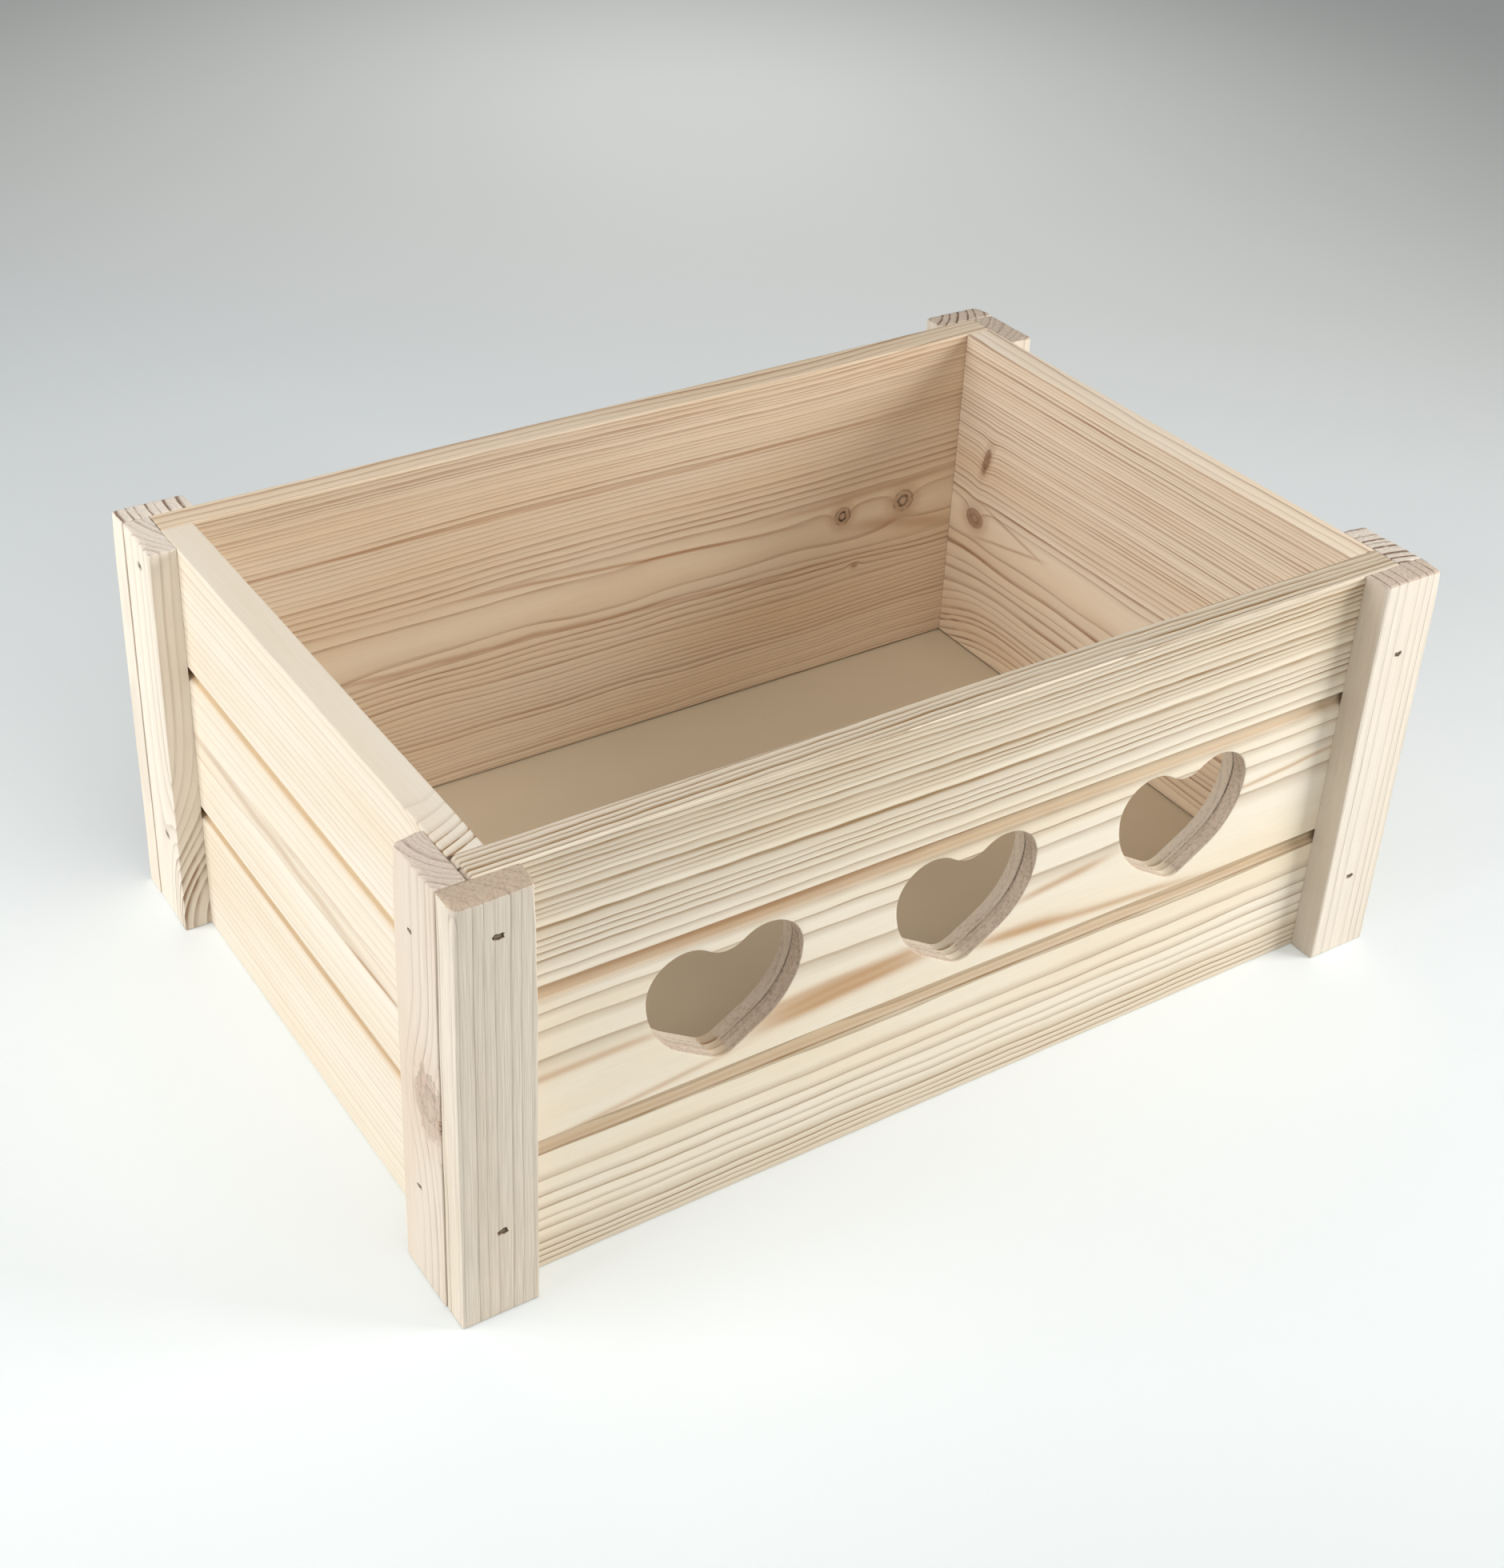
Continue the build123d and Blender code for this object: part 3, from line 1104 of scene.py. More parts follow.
@dataclass
class Timber:
    """A piece of pine: its node, how it lies, which way is inwards, and its wood."""

    node: str
    lie: Lie
    inward: float
    grain: PineGrain
    tone: PineTone

    def __post_init__(self) -> None:
        """Read the piece's place from the frame."""
        self.low, self.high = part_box(self.node)
        depth = self.lie.value[2]
        self.outer = self.low[depth] if self.inward > 0 else self.high[depth]
        self.thickness = self.high[depth] - self.low[depth]

    def complete(
        self, piece: bpy.types.Object, origin: Vector, slot: str, brads: tuple[Vector, ...] = ()
    ) -> bpy.types.Object:
        """Shade the piece, and give it its pine and its place in the frame.

        Args:
            piece: the finished shape.
            origin: where its wood is measured from, along and across the grain.
            slot: the record's material slot.
            brads: where brads go in; their slots are darkened with painted shade and the steel's stain.

        Returns:
            The finished piece.
        """
        soften(piece)
        origin[self.lie.value[2]] = self.outer
        plank = Plank(self.lie, origin, self.inward, brads)
        finish = PineFinish(f"pine_{self.node}", plank, self.grain, self.tone)
        dress(piece, finish.make(), slot, self.node)
        return piece


@dataclass
class Board(Timber):
    """A grooved board: eased arrises, worn ends, the floor's housing and any hearts."""

    worn_end: float = 0.6 * MM
    worn_reach: float = 20 * MM
    end_arris: float = 0.4 * MM
    groove_width: float = 7 * MM
    groove_depth: float = 2.5 * MM
    groove_lip: float = 1.5 * MM
    groove_pitch: float = 70 * MM
    housing_depth: float = 5 * MM
    housing_gap: float = 0.8 * MM
    end_gap: float = 0.0
    arris: float = 0.7 * MM
    milled_arris: float = 0.3 * MM
    near_end: tuple[float, ...] = (0.0, 0.12, 0.3, 0.6, 1.0, 1.5, 2.1, 2.8, 3.6, 4.8)
    pitch: float = 3 * MM
    hearts: int = 0
    heart: Heart = field(default_factory=Heart)
    heart_pitch: float = 110 * MM
    heart_rise: float = 2 * MM
    heart_rim: float = 0.5 * MM

    def __post_init__(self) -> None:
        """Read the board's place from the frame, and where its ends and its top are."""
        super().__post_init__()
        along = self.lie.value[0]
        self.start, self.end = self.low[along] + self.end_gap, self.high[along] - self.end_gap
        self.top = self.high.z

    def groove_heights(self) -> list[tuple[float, float]]:
        """Bottom and top of each groove."""
        middles = [self.top / 2 + side * self.groove_pitch / 2 for side in (-1, 1)]
        return [(middle - self.groove_width / 2, middle + self.groove_width / 2) for middle in middles]

    def section(self) -> Section:
        """Draw the board's section, from its bottom outer corner up the outside and down the inside.

        Returns:
            The section.
        """
        deep = self.groove_depth
        corners = [(0.0, 0.0, self.arris)]
        for low, high in self.groove_heights():
            groove = ((0.0, low), (deep, low + self.groove_lip), (deep, high), (0.0, high))
            corners.extend((*corner, self.milled_arris) for corner in groove)
        corners.append((0.0, self.top, self.arris))
        corners.append((self.thickness, self.top, self.arris))
        floor_low, floor_high = (corner.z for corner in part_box("floor_panel"))
        roof = floor_high + self.housing_gap
        back = self.thickness - self.housing_depth
        housing = ((self.thickness, roof), (back, roof), (back, floor_low), (self.thickness, floor_low))
        corners.extend((*corner, self.milled_arris) for corner in housing)
        corners.append((self.thickness, 0.0, self.arris))
        return Section(tuple(Corner(*corner) for corner in corners))

    def ring(self, section: Section, station: float) -> list[Vector]:
        """The section at one place along the board, with its wear.

        Args:
            section: the board's section.
            station: place along the board.

        Returns:
            Points in the frame.
        """
        along, across, depth = self.lie.value

        def worn(corner: Corner) -> float:
            """Find a corner's radius here: arrises wear unevenly, milled corners don't.

            Args:
                corner: the corner.

            Returns:
                The radius.
            """
            if corner.radius < self.arris:
                return corner.radius
            spot = Vector((station * 60, corner.depth * 300 + self.grain.seed, corner.height * 40))
            return corner.radius * (1.0 + 0.35 * noise.noise(spot) + 0.2 * noise.noise(spot * 4))

        outline = section.outline(worn)
        from_end = min(station - self.start, self.end - station)
        points = []
        count = len(outline)
        for i, point in enumerate(outline):
            ahead = outline[(i + 1) % count] - outline[i - 1]
            inwards = Vector((ahead.y, -ahead.x)).normalized()
            moved = point + inwards * self.end_ease(from_end, station, point.y)
            place = Vector((0.0, 0.0, 0.0))
            place[along] = station
            place[across] = moved.y
            place[depth] = self.outer + self.inward * moved.x
            points.append(place)
        return points

    def end_ease(self, from_end: float, station: float, height: float) -> float:
        """How far the end's rounding draws the surface in, more near the top of the worn end.

        Args:
            from_end: distance from the nearer end.
            station: place along the board.
            height: height on the board.

        Returns:
            The distance.
        """
        near_top = max(0.0, 1.0 - (self.top - height) / self.worn_reach)
        radius = self.end_arris
        if station < (self.start + self.end) / 2:
            radius += (self.worn_end - radius) * near_top
        if from_end >= radius:
            return 0.0
        short = radius - from_end
        return radius - math.sqrt(max(0.0, radius * radius - short * short))

    def heart_middles(self) -> list[Vector]:
        """Find the middle of each heart.

        Returns:
            A point on the outer face for each.
        """
        height = self.top / 2 + self.heart_rise
        first = -(self.hearts - 1) / 2
        return [Vector(((first + k) * self.heart_pitch, self.outer, height)) for k in range(self.hearts)]

    def build(self) -> bpy.types.Object:
        """Make the board and put it in its place.

        Returns:
            The finished piece.
        """
        section = self.section()
        stations = spaced(self.start, self.end, self.near_end, self.pitch)
        piece = grow(f"pine_{self.node}", skin([self.ring(section, at) for at in stations]))
        if self.hearts:
            plugs = [self.heart.cutter(at, self.thickness, self.heart_rim) for at in self.heart_middles()]
            carve(piece, plugs)
        return self.complete(piece, Vector((0.0, 0.0, 0.0)), "pine_board")


@dataclass
class Batten(Timber):
    """An upright batten: sawn ends, worn arrises and the slots of its brads.

    Its arrises are sharper where it covers the board, from the share covered_from of its thickness on. Its
    sides draw in from the share seam_from of its width, less so near the top.
    """

    arris: float = 0.6 * MM
    least_arris: float = 0.25 * MM
    most_arris: float = 4.8 * MM
    wear: float = 1.6 * MM
    wear_fall: float = 12 * MM
    covered_from: float = 0.4
    covered_over: float = 0.3
    covered_loss: float = 0.75
    covered_arris: float = 0.15 * MM
    sawn_arris: float = 0.3 * MM
    sawn_share: float = 0.4
    most_sawn: float = 2.2 * MM
    shrink: float = 0.2 * MM
    seam: float = 0.5 * MM
    seam_from: float = 0.3
    seam_slope: float = 5.0
    seam_tight: float = 0.7
    seam_fall: float = 8 * MM
    slot_width: float = 3.3 * MM
    slot_height: float = 1.8 * MM
    slot_depth: float = 1.2 * MM
    slot_tear: float = 0.45
    slot_flare: float = 1.12
    slot_taper: float = 0.9
    slot_points: int = 18
    skew: float = 0.0
    near_arris: tuple[float, ...] = (0.0, 0.12, 0.3, 0.55, 0.9, 1.35, 1.95, 2.7, 3.6, 4.7)
    pitch: float = 2.5 * MM

    def __post_init__(self) -> None:
        """Read the batten's place from the frame, and draw its sides in a little."""
        super().__post_init__()
        across = self.lie.value[1]
        self.least, self.most = Vector(self.low), Vector(self.high)
        self.least[across] += self.shrink
        self.most[across] -= self.shrink

    def shell(self) -> bmesh.types.BMesh:
        """Make the batten as a closed box of small faces.

        Returns:
            The box.
        """
        lines = [spaced(self.least[k], self.most[k], self.near_arris, self.pitch) for k in range(3)]
        shape = bmesh.new()
        made: dict[tuple[int, ...], bmesh.types.BMVert] = {}

        def vertex(place: tuple[int, ...]) -> bmesh.types.BMVert:
            """Find or make the vertex at one crossing of the lines.

            Args:
                place: the number of the line on each axis.

            Returns:
                The vertex.
            """
            if place not in made:
                made[place] = shape.verts.new([lines[axis][place[axis]] for axis in range(3)])
            return made[place]

        for axis in range(3):
            second, third = (axis + 1) % 3, (axis + 2) % 3
            for side in (0, len(lines[axis]) - 1):
                for i in range(len(lines[second]) - 1):
                    for j in range(len(lines[third]) - 1):
                        quad = []
                        for di, dj in ((0, 0), (1, 0), (1, 1), (0, 1)):
                            place = [0, 0, 0]
                            place[axis], place[second], place[third] = side, i + di, j + dj
                            quad.append(vertex(tuple(place)))
                        shape.faces.new(quad if side else quad[::-1])
        return shape

    def radius(self, place: Vector) -> float:
        """How far the arris has worn near a place: most at the top corners.

        Args:
            place: a point on the batten.

        Returns:
            The arris's radius there.
        """
        spot = place * 70 + Vector((self.grain.seed * 5, 0.0, 0.0))
        patch = 0.5 + noise.noise(spot * 0.5)
        rough = 0.5 + noise.noise(spot * 4)
        corner = math.exp(-(self.high.z - place.z) / self.wear_fall)
        worn = self.arris * (0.6 + 0.5 * patch + 0.4 * rough) + self.wear * corner * (0.4 + patch)
        return min(max(worn, self.least_arris), self.most_arris)

    def round_off(self, place: Vector) -> Vector:
        """Round the arrises at a point of the shell.

        Args:
            place: the point.

        Returns:
            Where it comes to lie.
        """
        inside = abs(place[self.lie.value[2]] - self.outer) / self.thickness
        covered = min(max((inside - self.covered_from) / self.covered_over, 0.0), 1.0)
        radius = max(self.radius(place) * (1.0 - self.covered_loss * covered), self.covered_arris)
        chipped = 1.0 + 0.8 * noise.noise(place * 260) + 0.5 * noise.noise(place * 640)
        upright = min(self.sawn_arris + self.sawn_share * radius * chipped, self.most_sawn)
        radii = Vector((radius, radius, upright))
        limits = zip(place, self.least, self.most, radii)
        core = Vector([min(max(at, low + round_by), high - round_by) for at, low, high, round_by in limits])
        arm = Vector([(place[k] - core[k]) / radii[k] for k in range(3)])
        if arm.length <= 1.0:
            return place
        arm.normalize()
        return core + arm * radii

    def ease(self, shape: bmesh.types.BMesh) -> None:
        """Round the arrises of the shell, and draw its sides and its skewed face in.

        Args:
            shape: the shell, which is changed.
        """
        _, across, depth = self.lie.value
        low, high = self.least[across], self.most[across]
        middle, width = (low + high) / 2, high - low
        for vert in shape.verts:
            side = 1 if vert.co[across] > middle else -1
            planed = noise.noise(Vector((vert.co.z * 28, side * 3.0, self.grain.seed * 9)))
            vert.co = self.round_off(vert.co)
            from_middle = abs(vert.co[across] - middle) / width
            if from_middle > self.seam_from:
                tight = 1.0 - self.seam_tight * math.exp(-(self.high.z - vert.co.z) / self.seam_fall)
                uneven = self.seam * tight * (0.7 + 0.7 * planed)
                drawn = uneven * (from_middle - self.seam_from) * self.seam_slope
                vert.co[across] -= side * max(0.0, drawn)
            if self.skew:
                share = (vert.co[across] - low) / width
                left = 1.0 - abs(vert.co[depth] - self.outer) / self.thickness
                vert.co[depth] += self.inward * self.skew * share * left

    def brad_heights(self) -> list[float]:
        """Read the heights of the batten's two brads from their node.

        Returns:
            The lower height and the upper one.
        """
        heights = [vert.co.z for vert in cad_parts[f"{self.node}_brads"].data.vertices]
        middle = (min(heights) + max(heights)) / 2
        lower = [z for z in heights if z < middle]
        upper = [z for z in heights if z > middle]
        return [(min(lower) + max(lower)) / 2, (min(upper) + max(upper)) / 2]

    def brad_places(self) -> list[Vector]:
        """Find where the batten's brads go in.

        Returns:
            A point on the outer face for each.
        """
        low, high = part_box(f"{self.node}_brads")
        places = []
        for height in self.brad_heights():
            place = (low + high) / 2
            place[self.lie.value[2]] = self.outer
            place.z = height
            places.append(place)
        return places

    def slot(self, place: Vector) -> bmesh.types.BMesh:
        """Make a plug that cuts the torn slot of one brad.

        Args:
            place: where the brad goes in.

        Returns:
            The plug.
        """
        _, across, depth = self.lie.value
        half, tall = self.slot_width / 2, self.slot_height / 2
        outline = []
        for number in range(self.slot_points):
            angle = math.tau * number / self.slot_points
            cosine, sine = math.cos(angle), math.sin(angle)
            blunt = (abs(cosine) ** 4 + abs(sine) ** 4) ** -0.25
            torn = 1.0 + self.slot_tear * noise.noise(place * 900 + Vector((number * 0.9, 0.0, 0.0)))
            outline.append((half * cosine * blunt * torn, tall * sine * blunt * torn))
        rings = []
        above, mouth = (-0.5 * MM, self.slot_flare), (0.25 * MM, 1.0)
        for inward, grown in (above, mouth, (self.slot_depth, self.slot_taper)):
            ring = []
            for x, z in outline:
                point = place.copy()
                point[across] += x * grown
                point.z += z * grown
                point[depth] += self.inward * inward
                ring.append(point)
            rings.append(ring)
        return skin(rings)

    def build(self) -> bpy.types.Object:
        """Make the batten and put it in its place.

        Returns:
            The finished piece.
        """
        shape = self.shell()
        self.ease(shape)
        piece = grow(f"pine_{self.node}", shape)
        places = self.brad_places()
        carve(piece, [self.slot(place) for place in places])
        origin = (self.low + self.high) / 2
        origin.z = 0.0
        return self.complete(piece, origin, "pine_batten", tuple(places))


@dataclass
class Brads:
    """Every brad in the battens: T-heads on flat shanks, driven a little unevenly."""

    battens: list[Batten]
    head_width: float = 3.0 * MM
    head_height: float = 1.4 * MM
    head_thickness: float = 1.2 * MM
    shank_width: float = 1.6 * MM
    shank_length: float = 20 * MM
    sink: float = 0.4 * MM
    crown: float = 0.14 * MM
    tilt: float = math.radians(4)
    seed: int = 11

    def seats(self) -> bpy.types.Object:
        """Make a point for each brad's head, with the turn that faces it outwards.

        Returns:
            The points as an object.
        """
        places, turns = [], []
        for batten in self.battens:
            depth = batten.lie.value[2]
            outward = Vector((0.0, 0.0, 0.0))
            outward[depth] = -batten.inward
            turn = outward.to_track_quat("Y", "Z").to_euler()
            for place in batten.brad_places():
                places.append(place - outward * self.sink)
                turns.append(turn)
        mesh = bpy.data.meshes.new("batten_brads")
        mesh.from_pydata(places, [], [])
        facing = mesh.attributes.new("facing", "FLOAT_VECTOR", "POINT")
        for item, turn in zip(facing.data, turns):
            item.vector = turn[:]
        piece = bpy.data.objects.new("batten_brads", mesh)
        bpy.context.scene.collection.objects.link(piece)
        return piece

    def sizes(self) -> dict[str, float]:
        """Give the node tree's named inputs their values.

        Returns:
            The value for each name.
        """
        return {
            "Head Width": self.head_width,
            "Head Height": self.head_height,
            "Head Thickness": self.head_thickness,
            "Shank Width": self.shank_width,
            "Shank Length": self.shank_length,
            "Crown": self.crown,
            "Tilt": self.tilt,
            "Seed": self.seed,
        }

    def head(self, nodes: Nodes, given: dict[str, Channel]) -> bpy.types.NodeSocket:
        """Add the nodes of a head with a crowned face, whose edges lie lower than its middle.

        Args:
            nodes: the tree.
            given: its inputs by name.

        Returns:
            The head's shape.
        """
        size = nodes.join({0: given["Head Width"], 1: given["Head Thickness"], 2: given["Head Height"]})
        parts = {"Size": size, "Vertices X": 7, "Vertices Y": 3, "Vertices Z": 5}
        block = nodes.add("GeometryNodeMeshCube", {}, parts).outputs["Mesh"]
        drop = nodes.join({1: given["Head Thickness"] * -0.5})
        seated = nodes.add("GeometryNodeTransform", {}, {0: block, "Translation": drop}).outputs[0]
        position = nodes.add("GeometryNodeInputPosition", {}, {}).outputs[0]
        aside = nodes.split(position)[0] / given["Head Width"]
        fall = nodes.join({1: aside.function("POWER", 2.0) * given["Crown"] * -4.0})
        return nodes.add("GeometryNodeSetPosition", {}, {0: seated, "Offset": fall}).outputs[0]

    def shank(self, nodes: Nodes, given: dict[str, Channel]) -> bpy.types.NodeSocket:
        """Add the nodes of a shank below the head.

        Args:
            nodes: the tree.
            given: its inputs by name.

        Returns:
            The shank's shape.
        """
        size = nodes.join({0: given["Shank Width"], 1: given["Shank Length"], 2: given["Head Height"]})
        strip = nodes.add("GeometryNodeMeshCube", {}, {"Size": size}).outputs["Mesh"]
        drop = nodes.join({1: given["Shank Length"] * -0.5 - given["Head Thickness"]})
        return nodes.add("GeometryNodeTransform", {}, {0: strip, "Translation": drop}).outputs[0]

    def tree(self, finish: bpy.types.Material) -> tuple[bpy.types.NodeTree, dict[str, str]]:
        """The node tree that puts a brad on each seat.

        Args:
            finish: the brads' material.

        Returns:
            The tree, and the identifier of each of its named inputs.
        """
        tree = bpy.data.node_groups.new("brads_on_seats", "GeometryNodeTree")
        tree.interface.new_socket("Seats", in_out="INPUT", socket_type="NodeSocketGeometry")
        inputs = {}
        for name, size in self.sizes().items():
            kind = "NodeSocketInt" if isinstance(size, int) else "NodeSocketFloat"
            inputs[name] = tree.interface.new_socket(name, in_out="INPUT", socket_type=kind).identifier
        tree.interface.new_socket("Brads", in_out="OUTPUT", socket_type="NodeSocketGeometry")
        nodes = Nodes(tree)
        source = nodes.add("NodeGroupInput", {}, {})
        given = {name: Channel(nodes, source.outputs[name]) for name in ("Seats", *inputs)}
        brad = nodes.add("GeometryNodeJoinGeometry", {}, {0: self.head(nodes, given)})
        tree.links.new(self.shank(nodes, given), brad.inputs[0])
        facing = nodes.add(
            "GeometryNodeInputNamedAttribute", {"data_type": "FLOAT_VECTOR"}, {"Name": "facing"}
        )
        seats = nodes.add(
            "GeometryNodeInstanceOnPoints",
            {},
            {"Points": given["Seats"], "Instance": brad.outputs[0], "Rotation": facing.outputs["Attribute"]},
        )
        luck = nodes.add(
            "FunctionNodeRandomValue",
            {"data_type": "FLOAT"},
            {2: -given["Tilt"], 3: given["Tilt"], "Seed": given["Seed"]},
        )
        swing = nodes.join({1: luck.outputs[1]})
        driven = nodes.add(
            "GeometryNodeRotateInstances", {}, {"Instances": seats.outputs[0], "Rotation": swing}
        )
        real = nodes.add("GeometryNodeRealizeInstances", {}, {0: driven.outputs[0]})
        steel = nodes.add("GeometryNodeSetMaterial", {}, {"Geometry": real.outputs[0], "Material": finish})
        nodes.add("NodeGroupOutput", {}, {0: steel.outputs[0]})
        return tree, inputs

    def build(self, finish: bpy.types.Material) -> bpy.types.Object:
        """Make the brads and put them in their slots.

        Args:
            finish: the brads' material.

        Returns:
            The finished piece.
        """
        piece = self.seats()
        tree, inputs = self.tree(finish)
        modifier = piece.modifiers.new("brads", "NODES")
        modifier.node_group = tree
        for name, size in self.sizes().items():
            modifier[inputs[name]] = size
        settle(piece)
        dress(piece, finish, "brad_steel", *[f"{batten.node}_brads" for batten in self.battens])
        return piece


@dataclass(frozen=True)
class Softbox:
    """A soft square light: its place and aim, the length of its side, its watts and its beam's degrees."""

    name: str
    place: tuple[float, float, float]
    aim: tuple[float, float, float]
    side: float
    power: float
    beam: float = 180.0
    colour: tuple[float, float, float] = (1.0, 0.992, 0.98)

    def hang(self) -> None:
        """Put the light into the scene, out of the camera's sight."""
        data = bpy.data.lights.new(self.name, "AREA")
        data.shape = "SQUARE"
        data.size = self.side
        data.energy = self.power
        data.color = self.colour
        data.spread = math.radians(self.beam)
        light = bpy.data.objects.new(self.name, data)
        light.location = self.place
        light.rotation_mode = "QUATERNION"
        light.rotation_quaternion = (Vector(self.aim) - Vector(self.place)).to_track_quat("-Z", "Y")
        light.visible_camera = False
        bpy.context.scene.collection.objects.link(light)


@dataclass
class Studio:
    """The plain pale floor, the soft lights and the camera.

    The floor's colour turns slightly warmer far behind the box, over the distances in far_from: painted warm
    light there.
    """

    floor_half: float = 9.0
    floor_drop: float = 0.2 * MM
    near_floor: tuple[str, str] = ("e3e9ea", "e9eeef")
    # The far colours are painted warm light falling far behind the box.
    far_floor: tuple[str, str] = ("e3e6e3", "e9ebe8")
    far_from: tuple[float, float] = (0.6, 1.2)
    # The floor's glow is painted light: it whitens the floor and fills the shadows on it.
    floor_glow: float = 0.1
    air: str = "fbfdff"
    air_strength: float = 0.15
    place: tuple[float, float, float] = (-0.4830, -0.6820, 0.6450)
    aim: tuple[float, float, float] = (0.0147, 0.0840, 0.1000)
    roll: float = math.radians(1.976)
    focal_pixels: float = 2917.0
    image: tuple[int, int] = (1880, 1960)
    axis_pixel: tuple[int, int] = (860, 780)
    sensor: float = 36.0
    softboxes: tuple[Softbox, ...] = (
        Softbox("left_softbox", (-1.55, 0.2, 0.66), (0.0, 0.0, 0.1), 1.1, 9.9, 130.0),
        Softbox("right_softbox", (0.95, -0.75, 0.55), (0.0, 0.0, 0.1), 0.6, 5.0, 115.0),
        Softbox("top_softbox", (-0.2, -0.8, 1.5), (-0.2, -0.5, 0.0), 1.2, 9.0),
        Softbox("back_softbox", (0.7, 1.3, 1.2), (0.6, 0.95, 0.0), 0.3, 0.8, 68.0),
        Softbox("floor_softbox", (-0.5, 0.15, 1.3), (-0.5, 0.15, 0.0), 0.3, 0.42, 60.0),
    )

    def camera(self) -> None:
        """Set up the camera where the photograph was taken from."""
        data = bpy.data.cameras.new("camera")
        long_side = max(self.image)
        data.sensor_width = self.sensor
        data.lens = self.focal_pixels * self.sensor / long_side
        data.shift_x = (self.image[0] / 2 - self.axis_pixel[0]) / long_side
        data.shift_y = (self.axis_pixel[1] - self.image[1] / 2) / long_side
        data.clip_start, data.clip_end = 0.01, 100.0
        camera = bpy.data.objects.new("camera", data)
        camera.location = self.place
        camera.rotation_mode = "QUATERNION"
        look = (Vector(self.aim) - Vector(self.place)).to_track_quat("-Z", "Y")
        camera.rotation_quaternion = look @ Quaternion((0.0, 0.0, 1.0), self.roll)
        bpy.context.scene.collection.objects.link(camera)
        bpy.context.scene.camera = camera

    def floor(self) -> None:
        """Lay the floor: a matt white sheet that glows faintly, painted light that whitens it and softens
        shadows on it.
        """
        shape = bmesh.new()
        bmesh.ops.create_grid(shape, x_segments=8, y_segments=8, size=self.floor_half)
        bmesh.ops.translate(shape, verts=shape.verts, vec=(0.0, 0.0, -self.floor_drop))
        floor = grow("studio_floor", shape)
        shader = Shader("studio_floor")
        cloud = shader.mottle(shader.place["Object"], 3.0, 2.0)
        x, y, _ = shader.split(shader.place["Object"])
        near, far = ([hue(code) for code in pair] for pair in (self.near_floor, self.far_floor))
        # Painted warm light: the floor's colour turns warmer far behind the box.
        base = shader.mix((x + y).smooth(*self.far_from), shader.mix(cloud, *near), shader.mix(cloud, *far))
        floor.data.materials.append(
            shader.finish(
                {
                    "Base Color": base,
                    "Roughness": 0.8,
                    "Specular IOR Level": 0.1,
                    # Painted light: the floor glows faintly though it is no lamp.
                    "Emission Color": hue("fafcfb"),
                    "Emission Strength": self.floor_glow,
                }
            )
        )

    def light(self) -> None:
        """Light the box from the left, from the right in front, and softly all round."""
        scene = bpy.context.scene
        scene.view_settings.view_transform = "Standard"
        scene.world = bpy.data.worlds.new("studio_air")
        scene.world.use_nodes = True
        background = scene.world.node_tree.nodes["Background"]
        background.inputs["Color"].default_value = hue(self.air)
        background.inputs["Strength"].default_value = self.air_strength
        for softbox in self.softboxes:
            softbox.hang()

    def build(self) -> None:
        """Set up the floor, the lights and the camera."""
        self.floor()
        self.light()
        self.camera()


# Lower and upper edge of the grooves in every board, in millimetres
GROOVES = ((55.5, 62.5), (125.5, 132.5))

# Wood of the boards
FRONT_GRAIN = PineGrain(
    seed=3.0, pith_across=77.0, pith_depth=100.0, ring_width=3.48, crowding=0.00345, waver=2.2,
    wobble=0.15, contrast=1.15, end_contrast=0.25, fuzz=0.6, cut_depth=7.3, softness=0.3,
    line_width=0.75, flat_fade=0.5, phase=0.25, relief=1.4, milled_bands=GROOVES,
    streaks=(
        # The streaks at 129.5 and 131.3 mm lie in the upper groove: resin colour with painted shade of the
        # groove, darkest along its top edge at the right.
        Streak(-112.0, 129.5, 95.0, 2.4, 0.0, 0.75, 1.0),
        Streak(-172.0, 91.5, 38.0, 2.0, 0.0, 0.7),
        Streak(49.0, 89.5, 23.0, 2.0, 0.1, 0.8),
        Streak(165.0, 131.3, 70.0, 1.0, 0.0, 0.8, 0.3),
        Streak(168.0, 103.5, 36.0, 1.2, 0.08, 0.75),
        Streak(-55.0, 81.0, 42.0, 3.2, 0.07, 1.0, 1.6),
        Streak(-55.0, 76.6, 42.0, 3.2, 0.07, 1.0, 1.6),
        Streak(-70.0, 83.0, 26.0, 1.8, 0.05, 0.6, 2.0),
        Streak(70.0, 67.8, 58.0, 2.0, -0.09, 0.75, 1.2),
        Streak(30.0, 72.2, 20.0, 3.0, -0.07, 0.75, 1.6),
        Streak(-150.0, 64.5, 45.0, 1.4, 0.1, 0.6),
    ),
)
LEFT_GRAIN = PineGrain(
    seed=8.0, pith_across=97.0, pith_depth=14.0, ring_width=3.9, waver=3.0, contrast=0.45, softness=0.2,
    line_width=1.0, relief=0.8, phase=0.7, milled_bands=GROOVES,
    knots=(Knot(-137.0, 196.0, 16.0, 16.0, 26.0, 1.5, 0.0, dip=0.6, bold=2.2),),
    streaks=(
        Streak(30.0, 97.0, 95.0, 2.4, 0.02, 0.55, 2.5),
        Streak(-64.0, 92.7, 22.0, 1.2, 0.0, 0.8),
        Streak(-20.0, 104.0, 60.0, 1.0, -0.02, 0.5, 2.0),
    ),
)
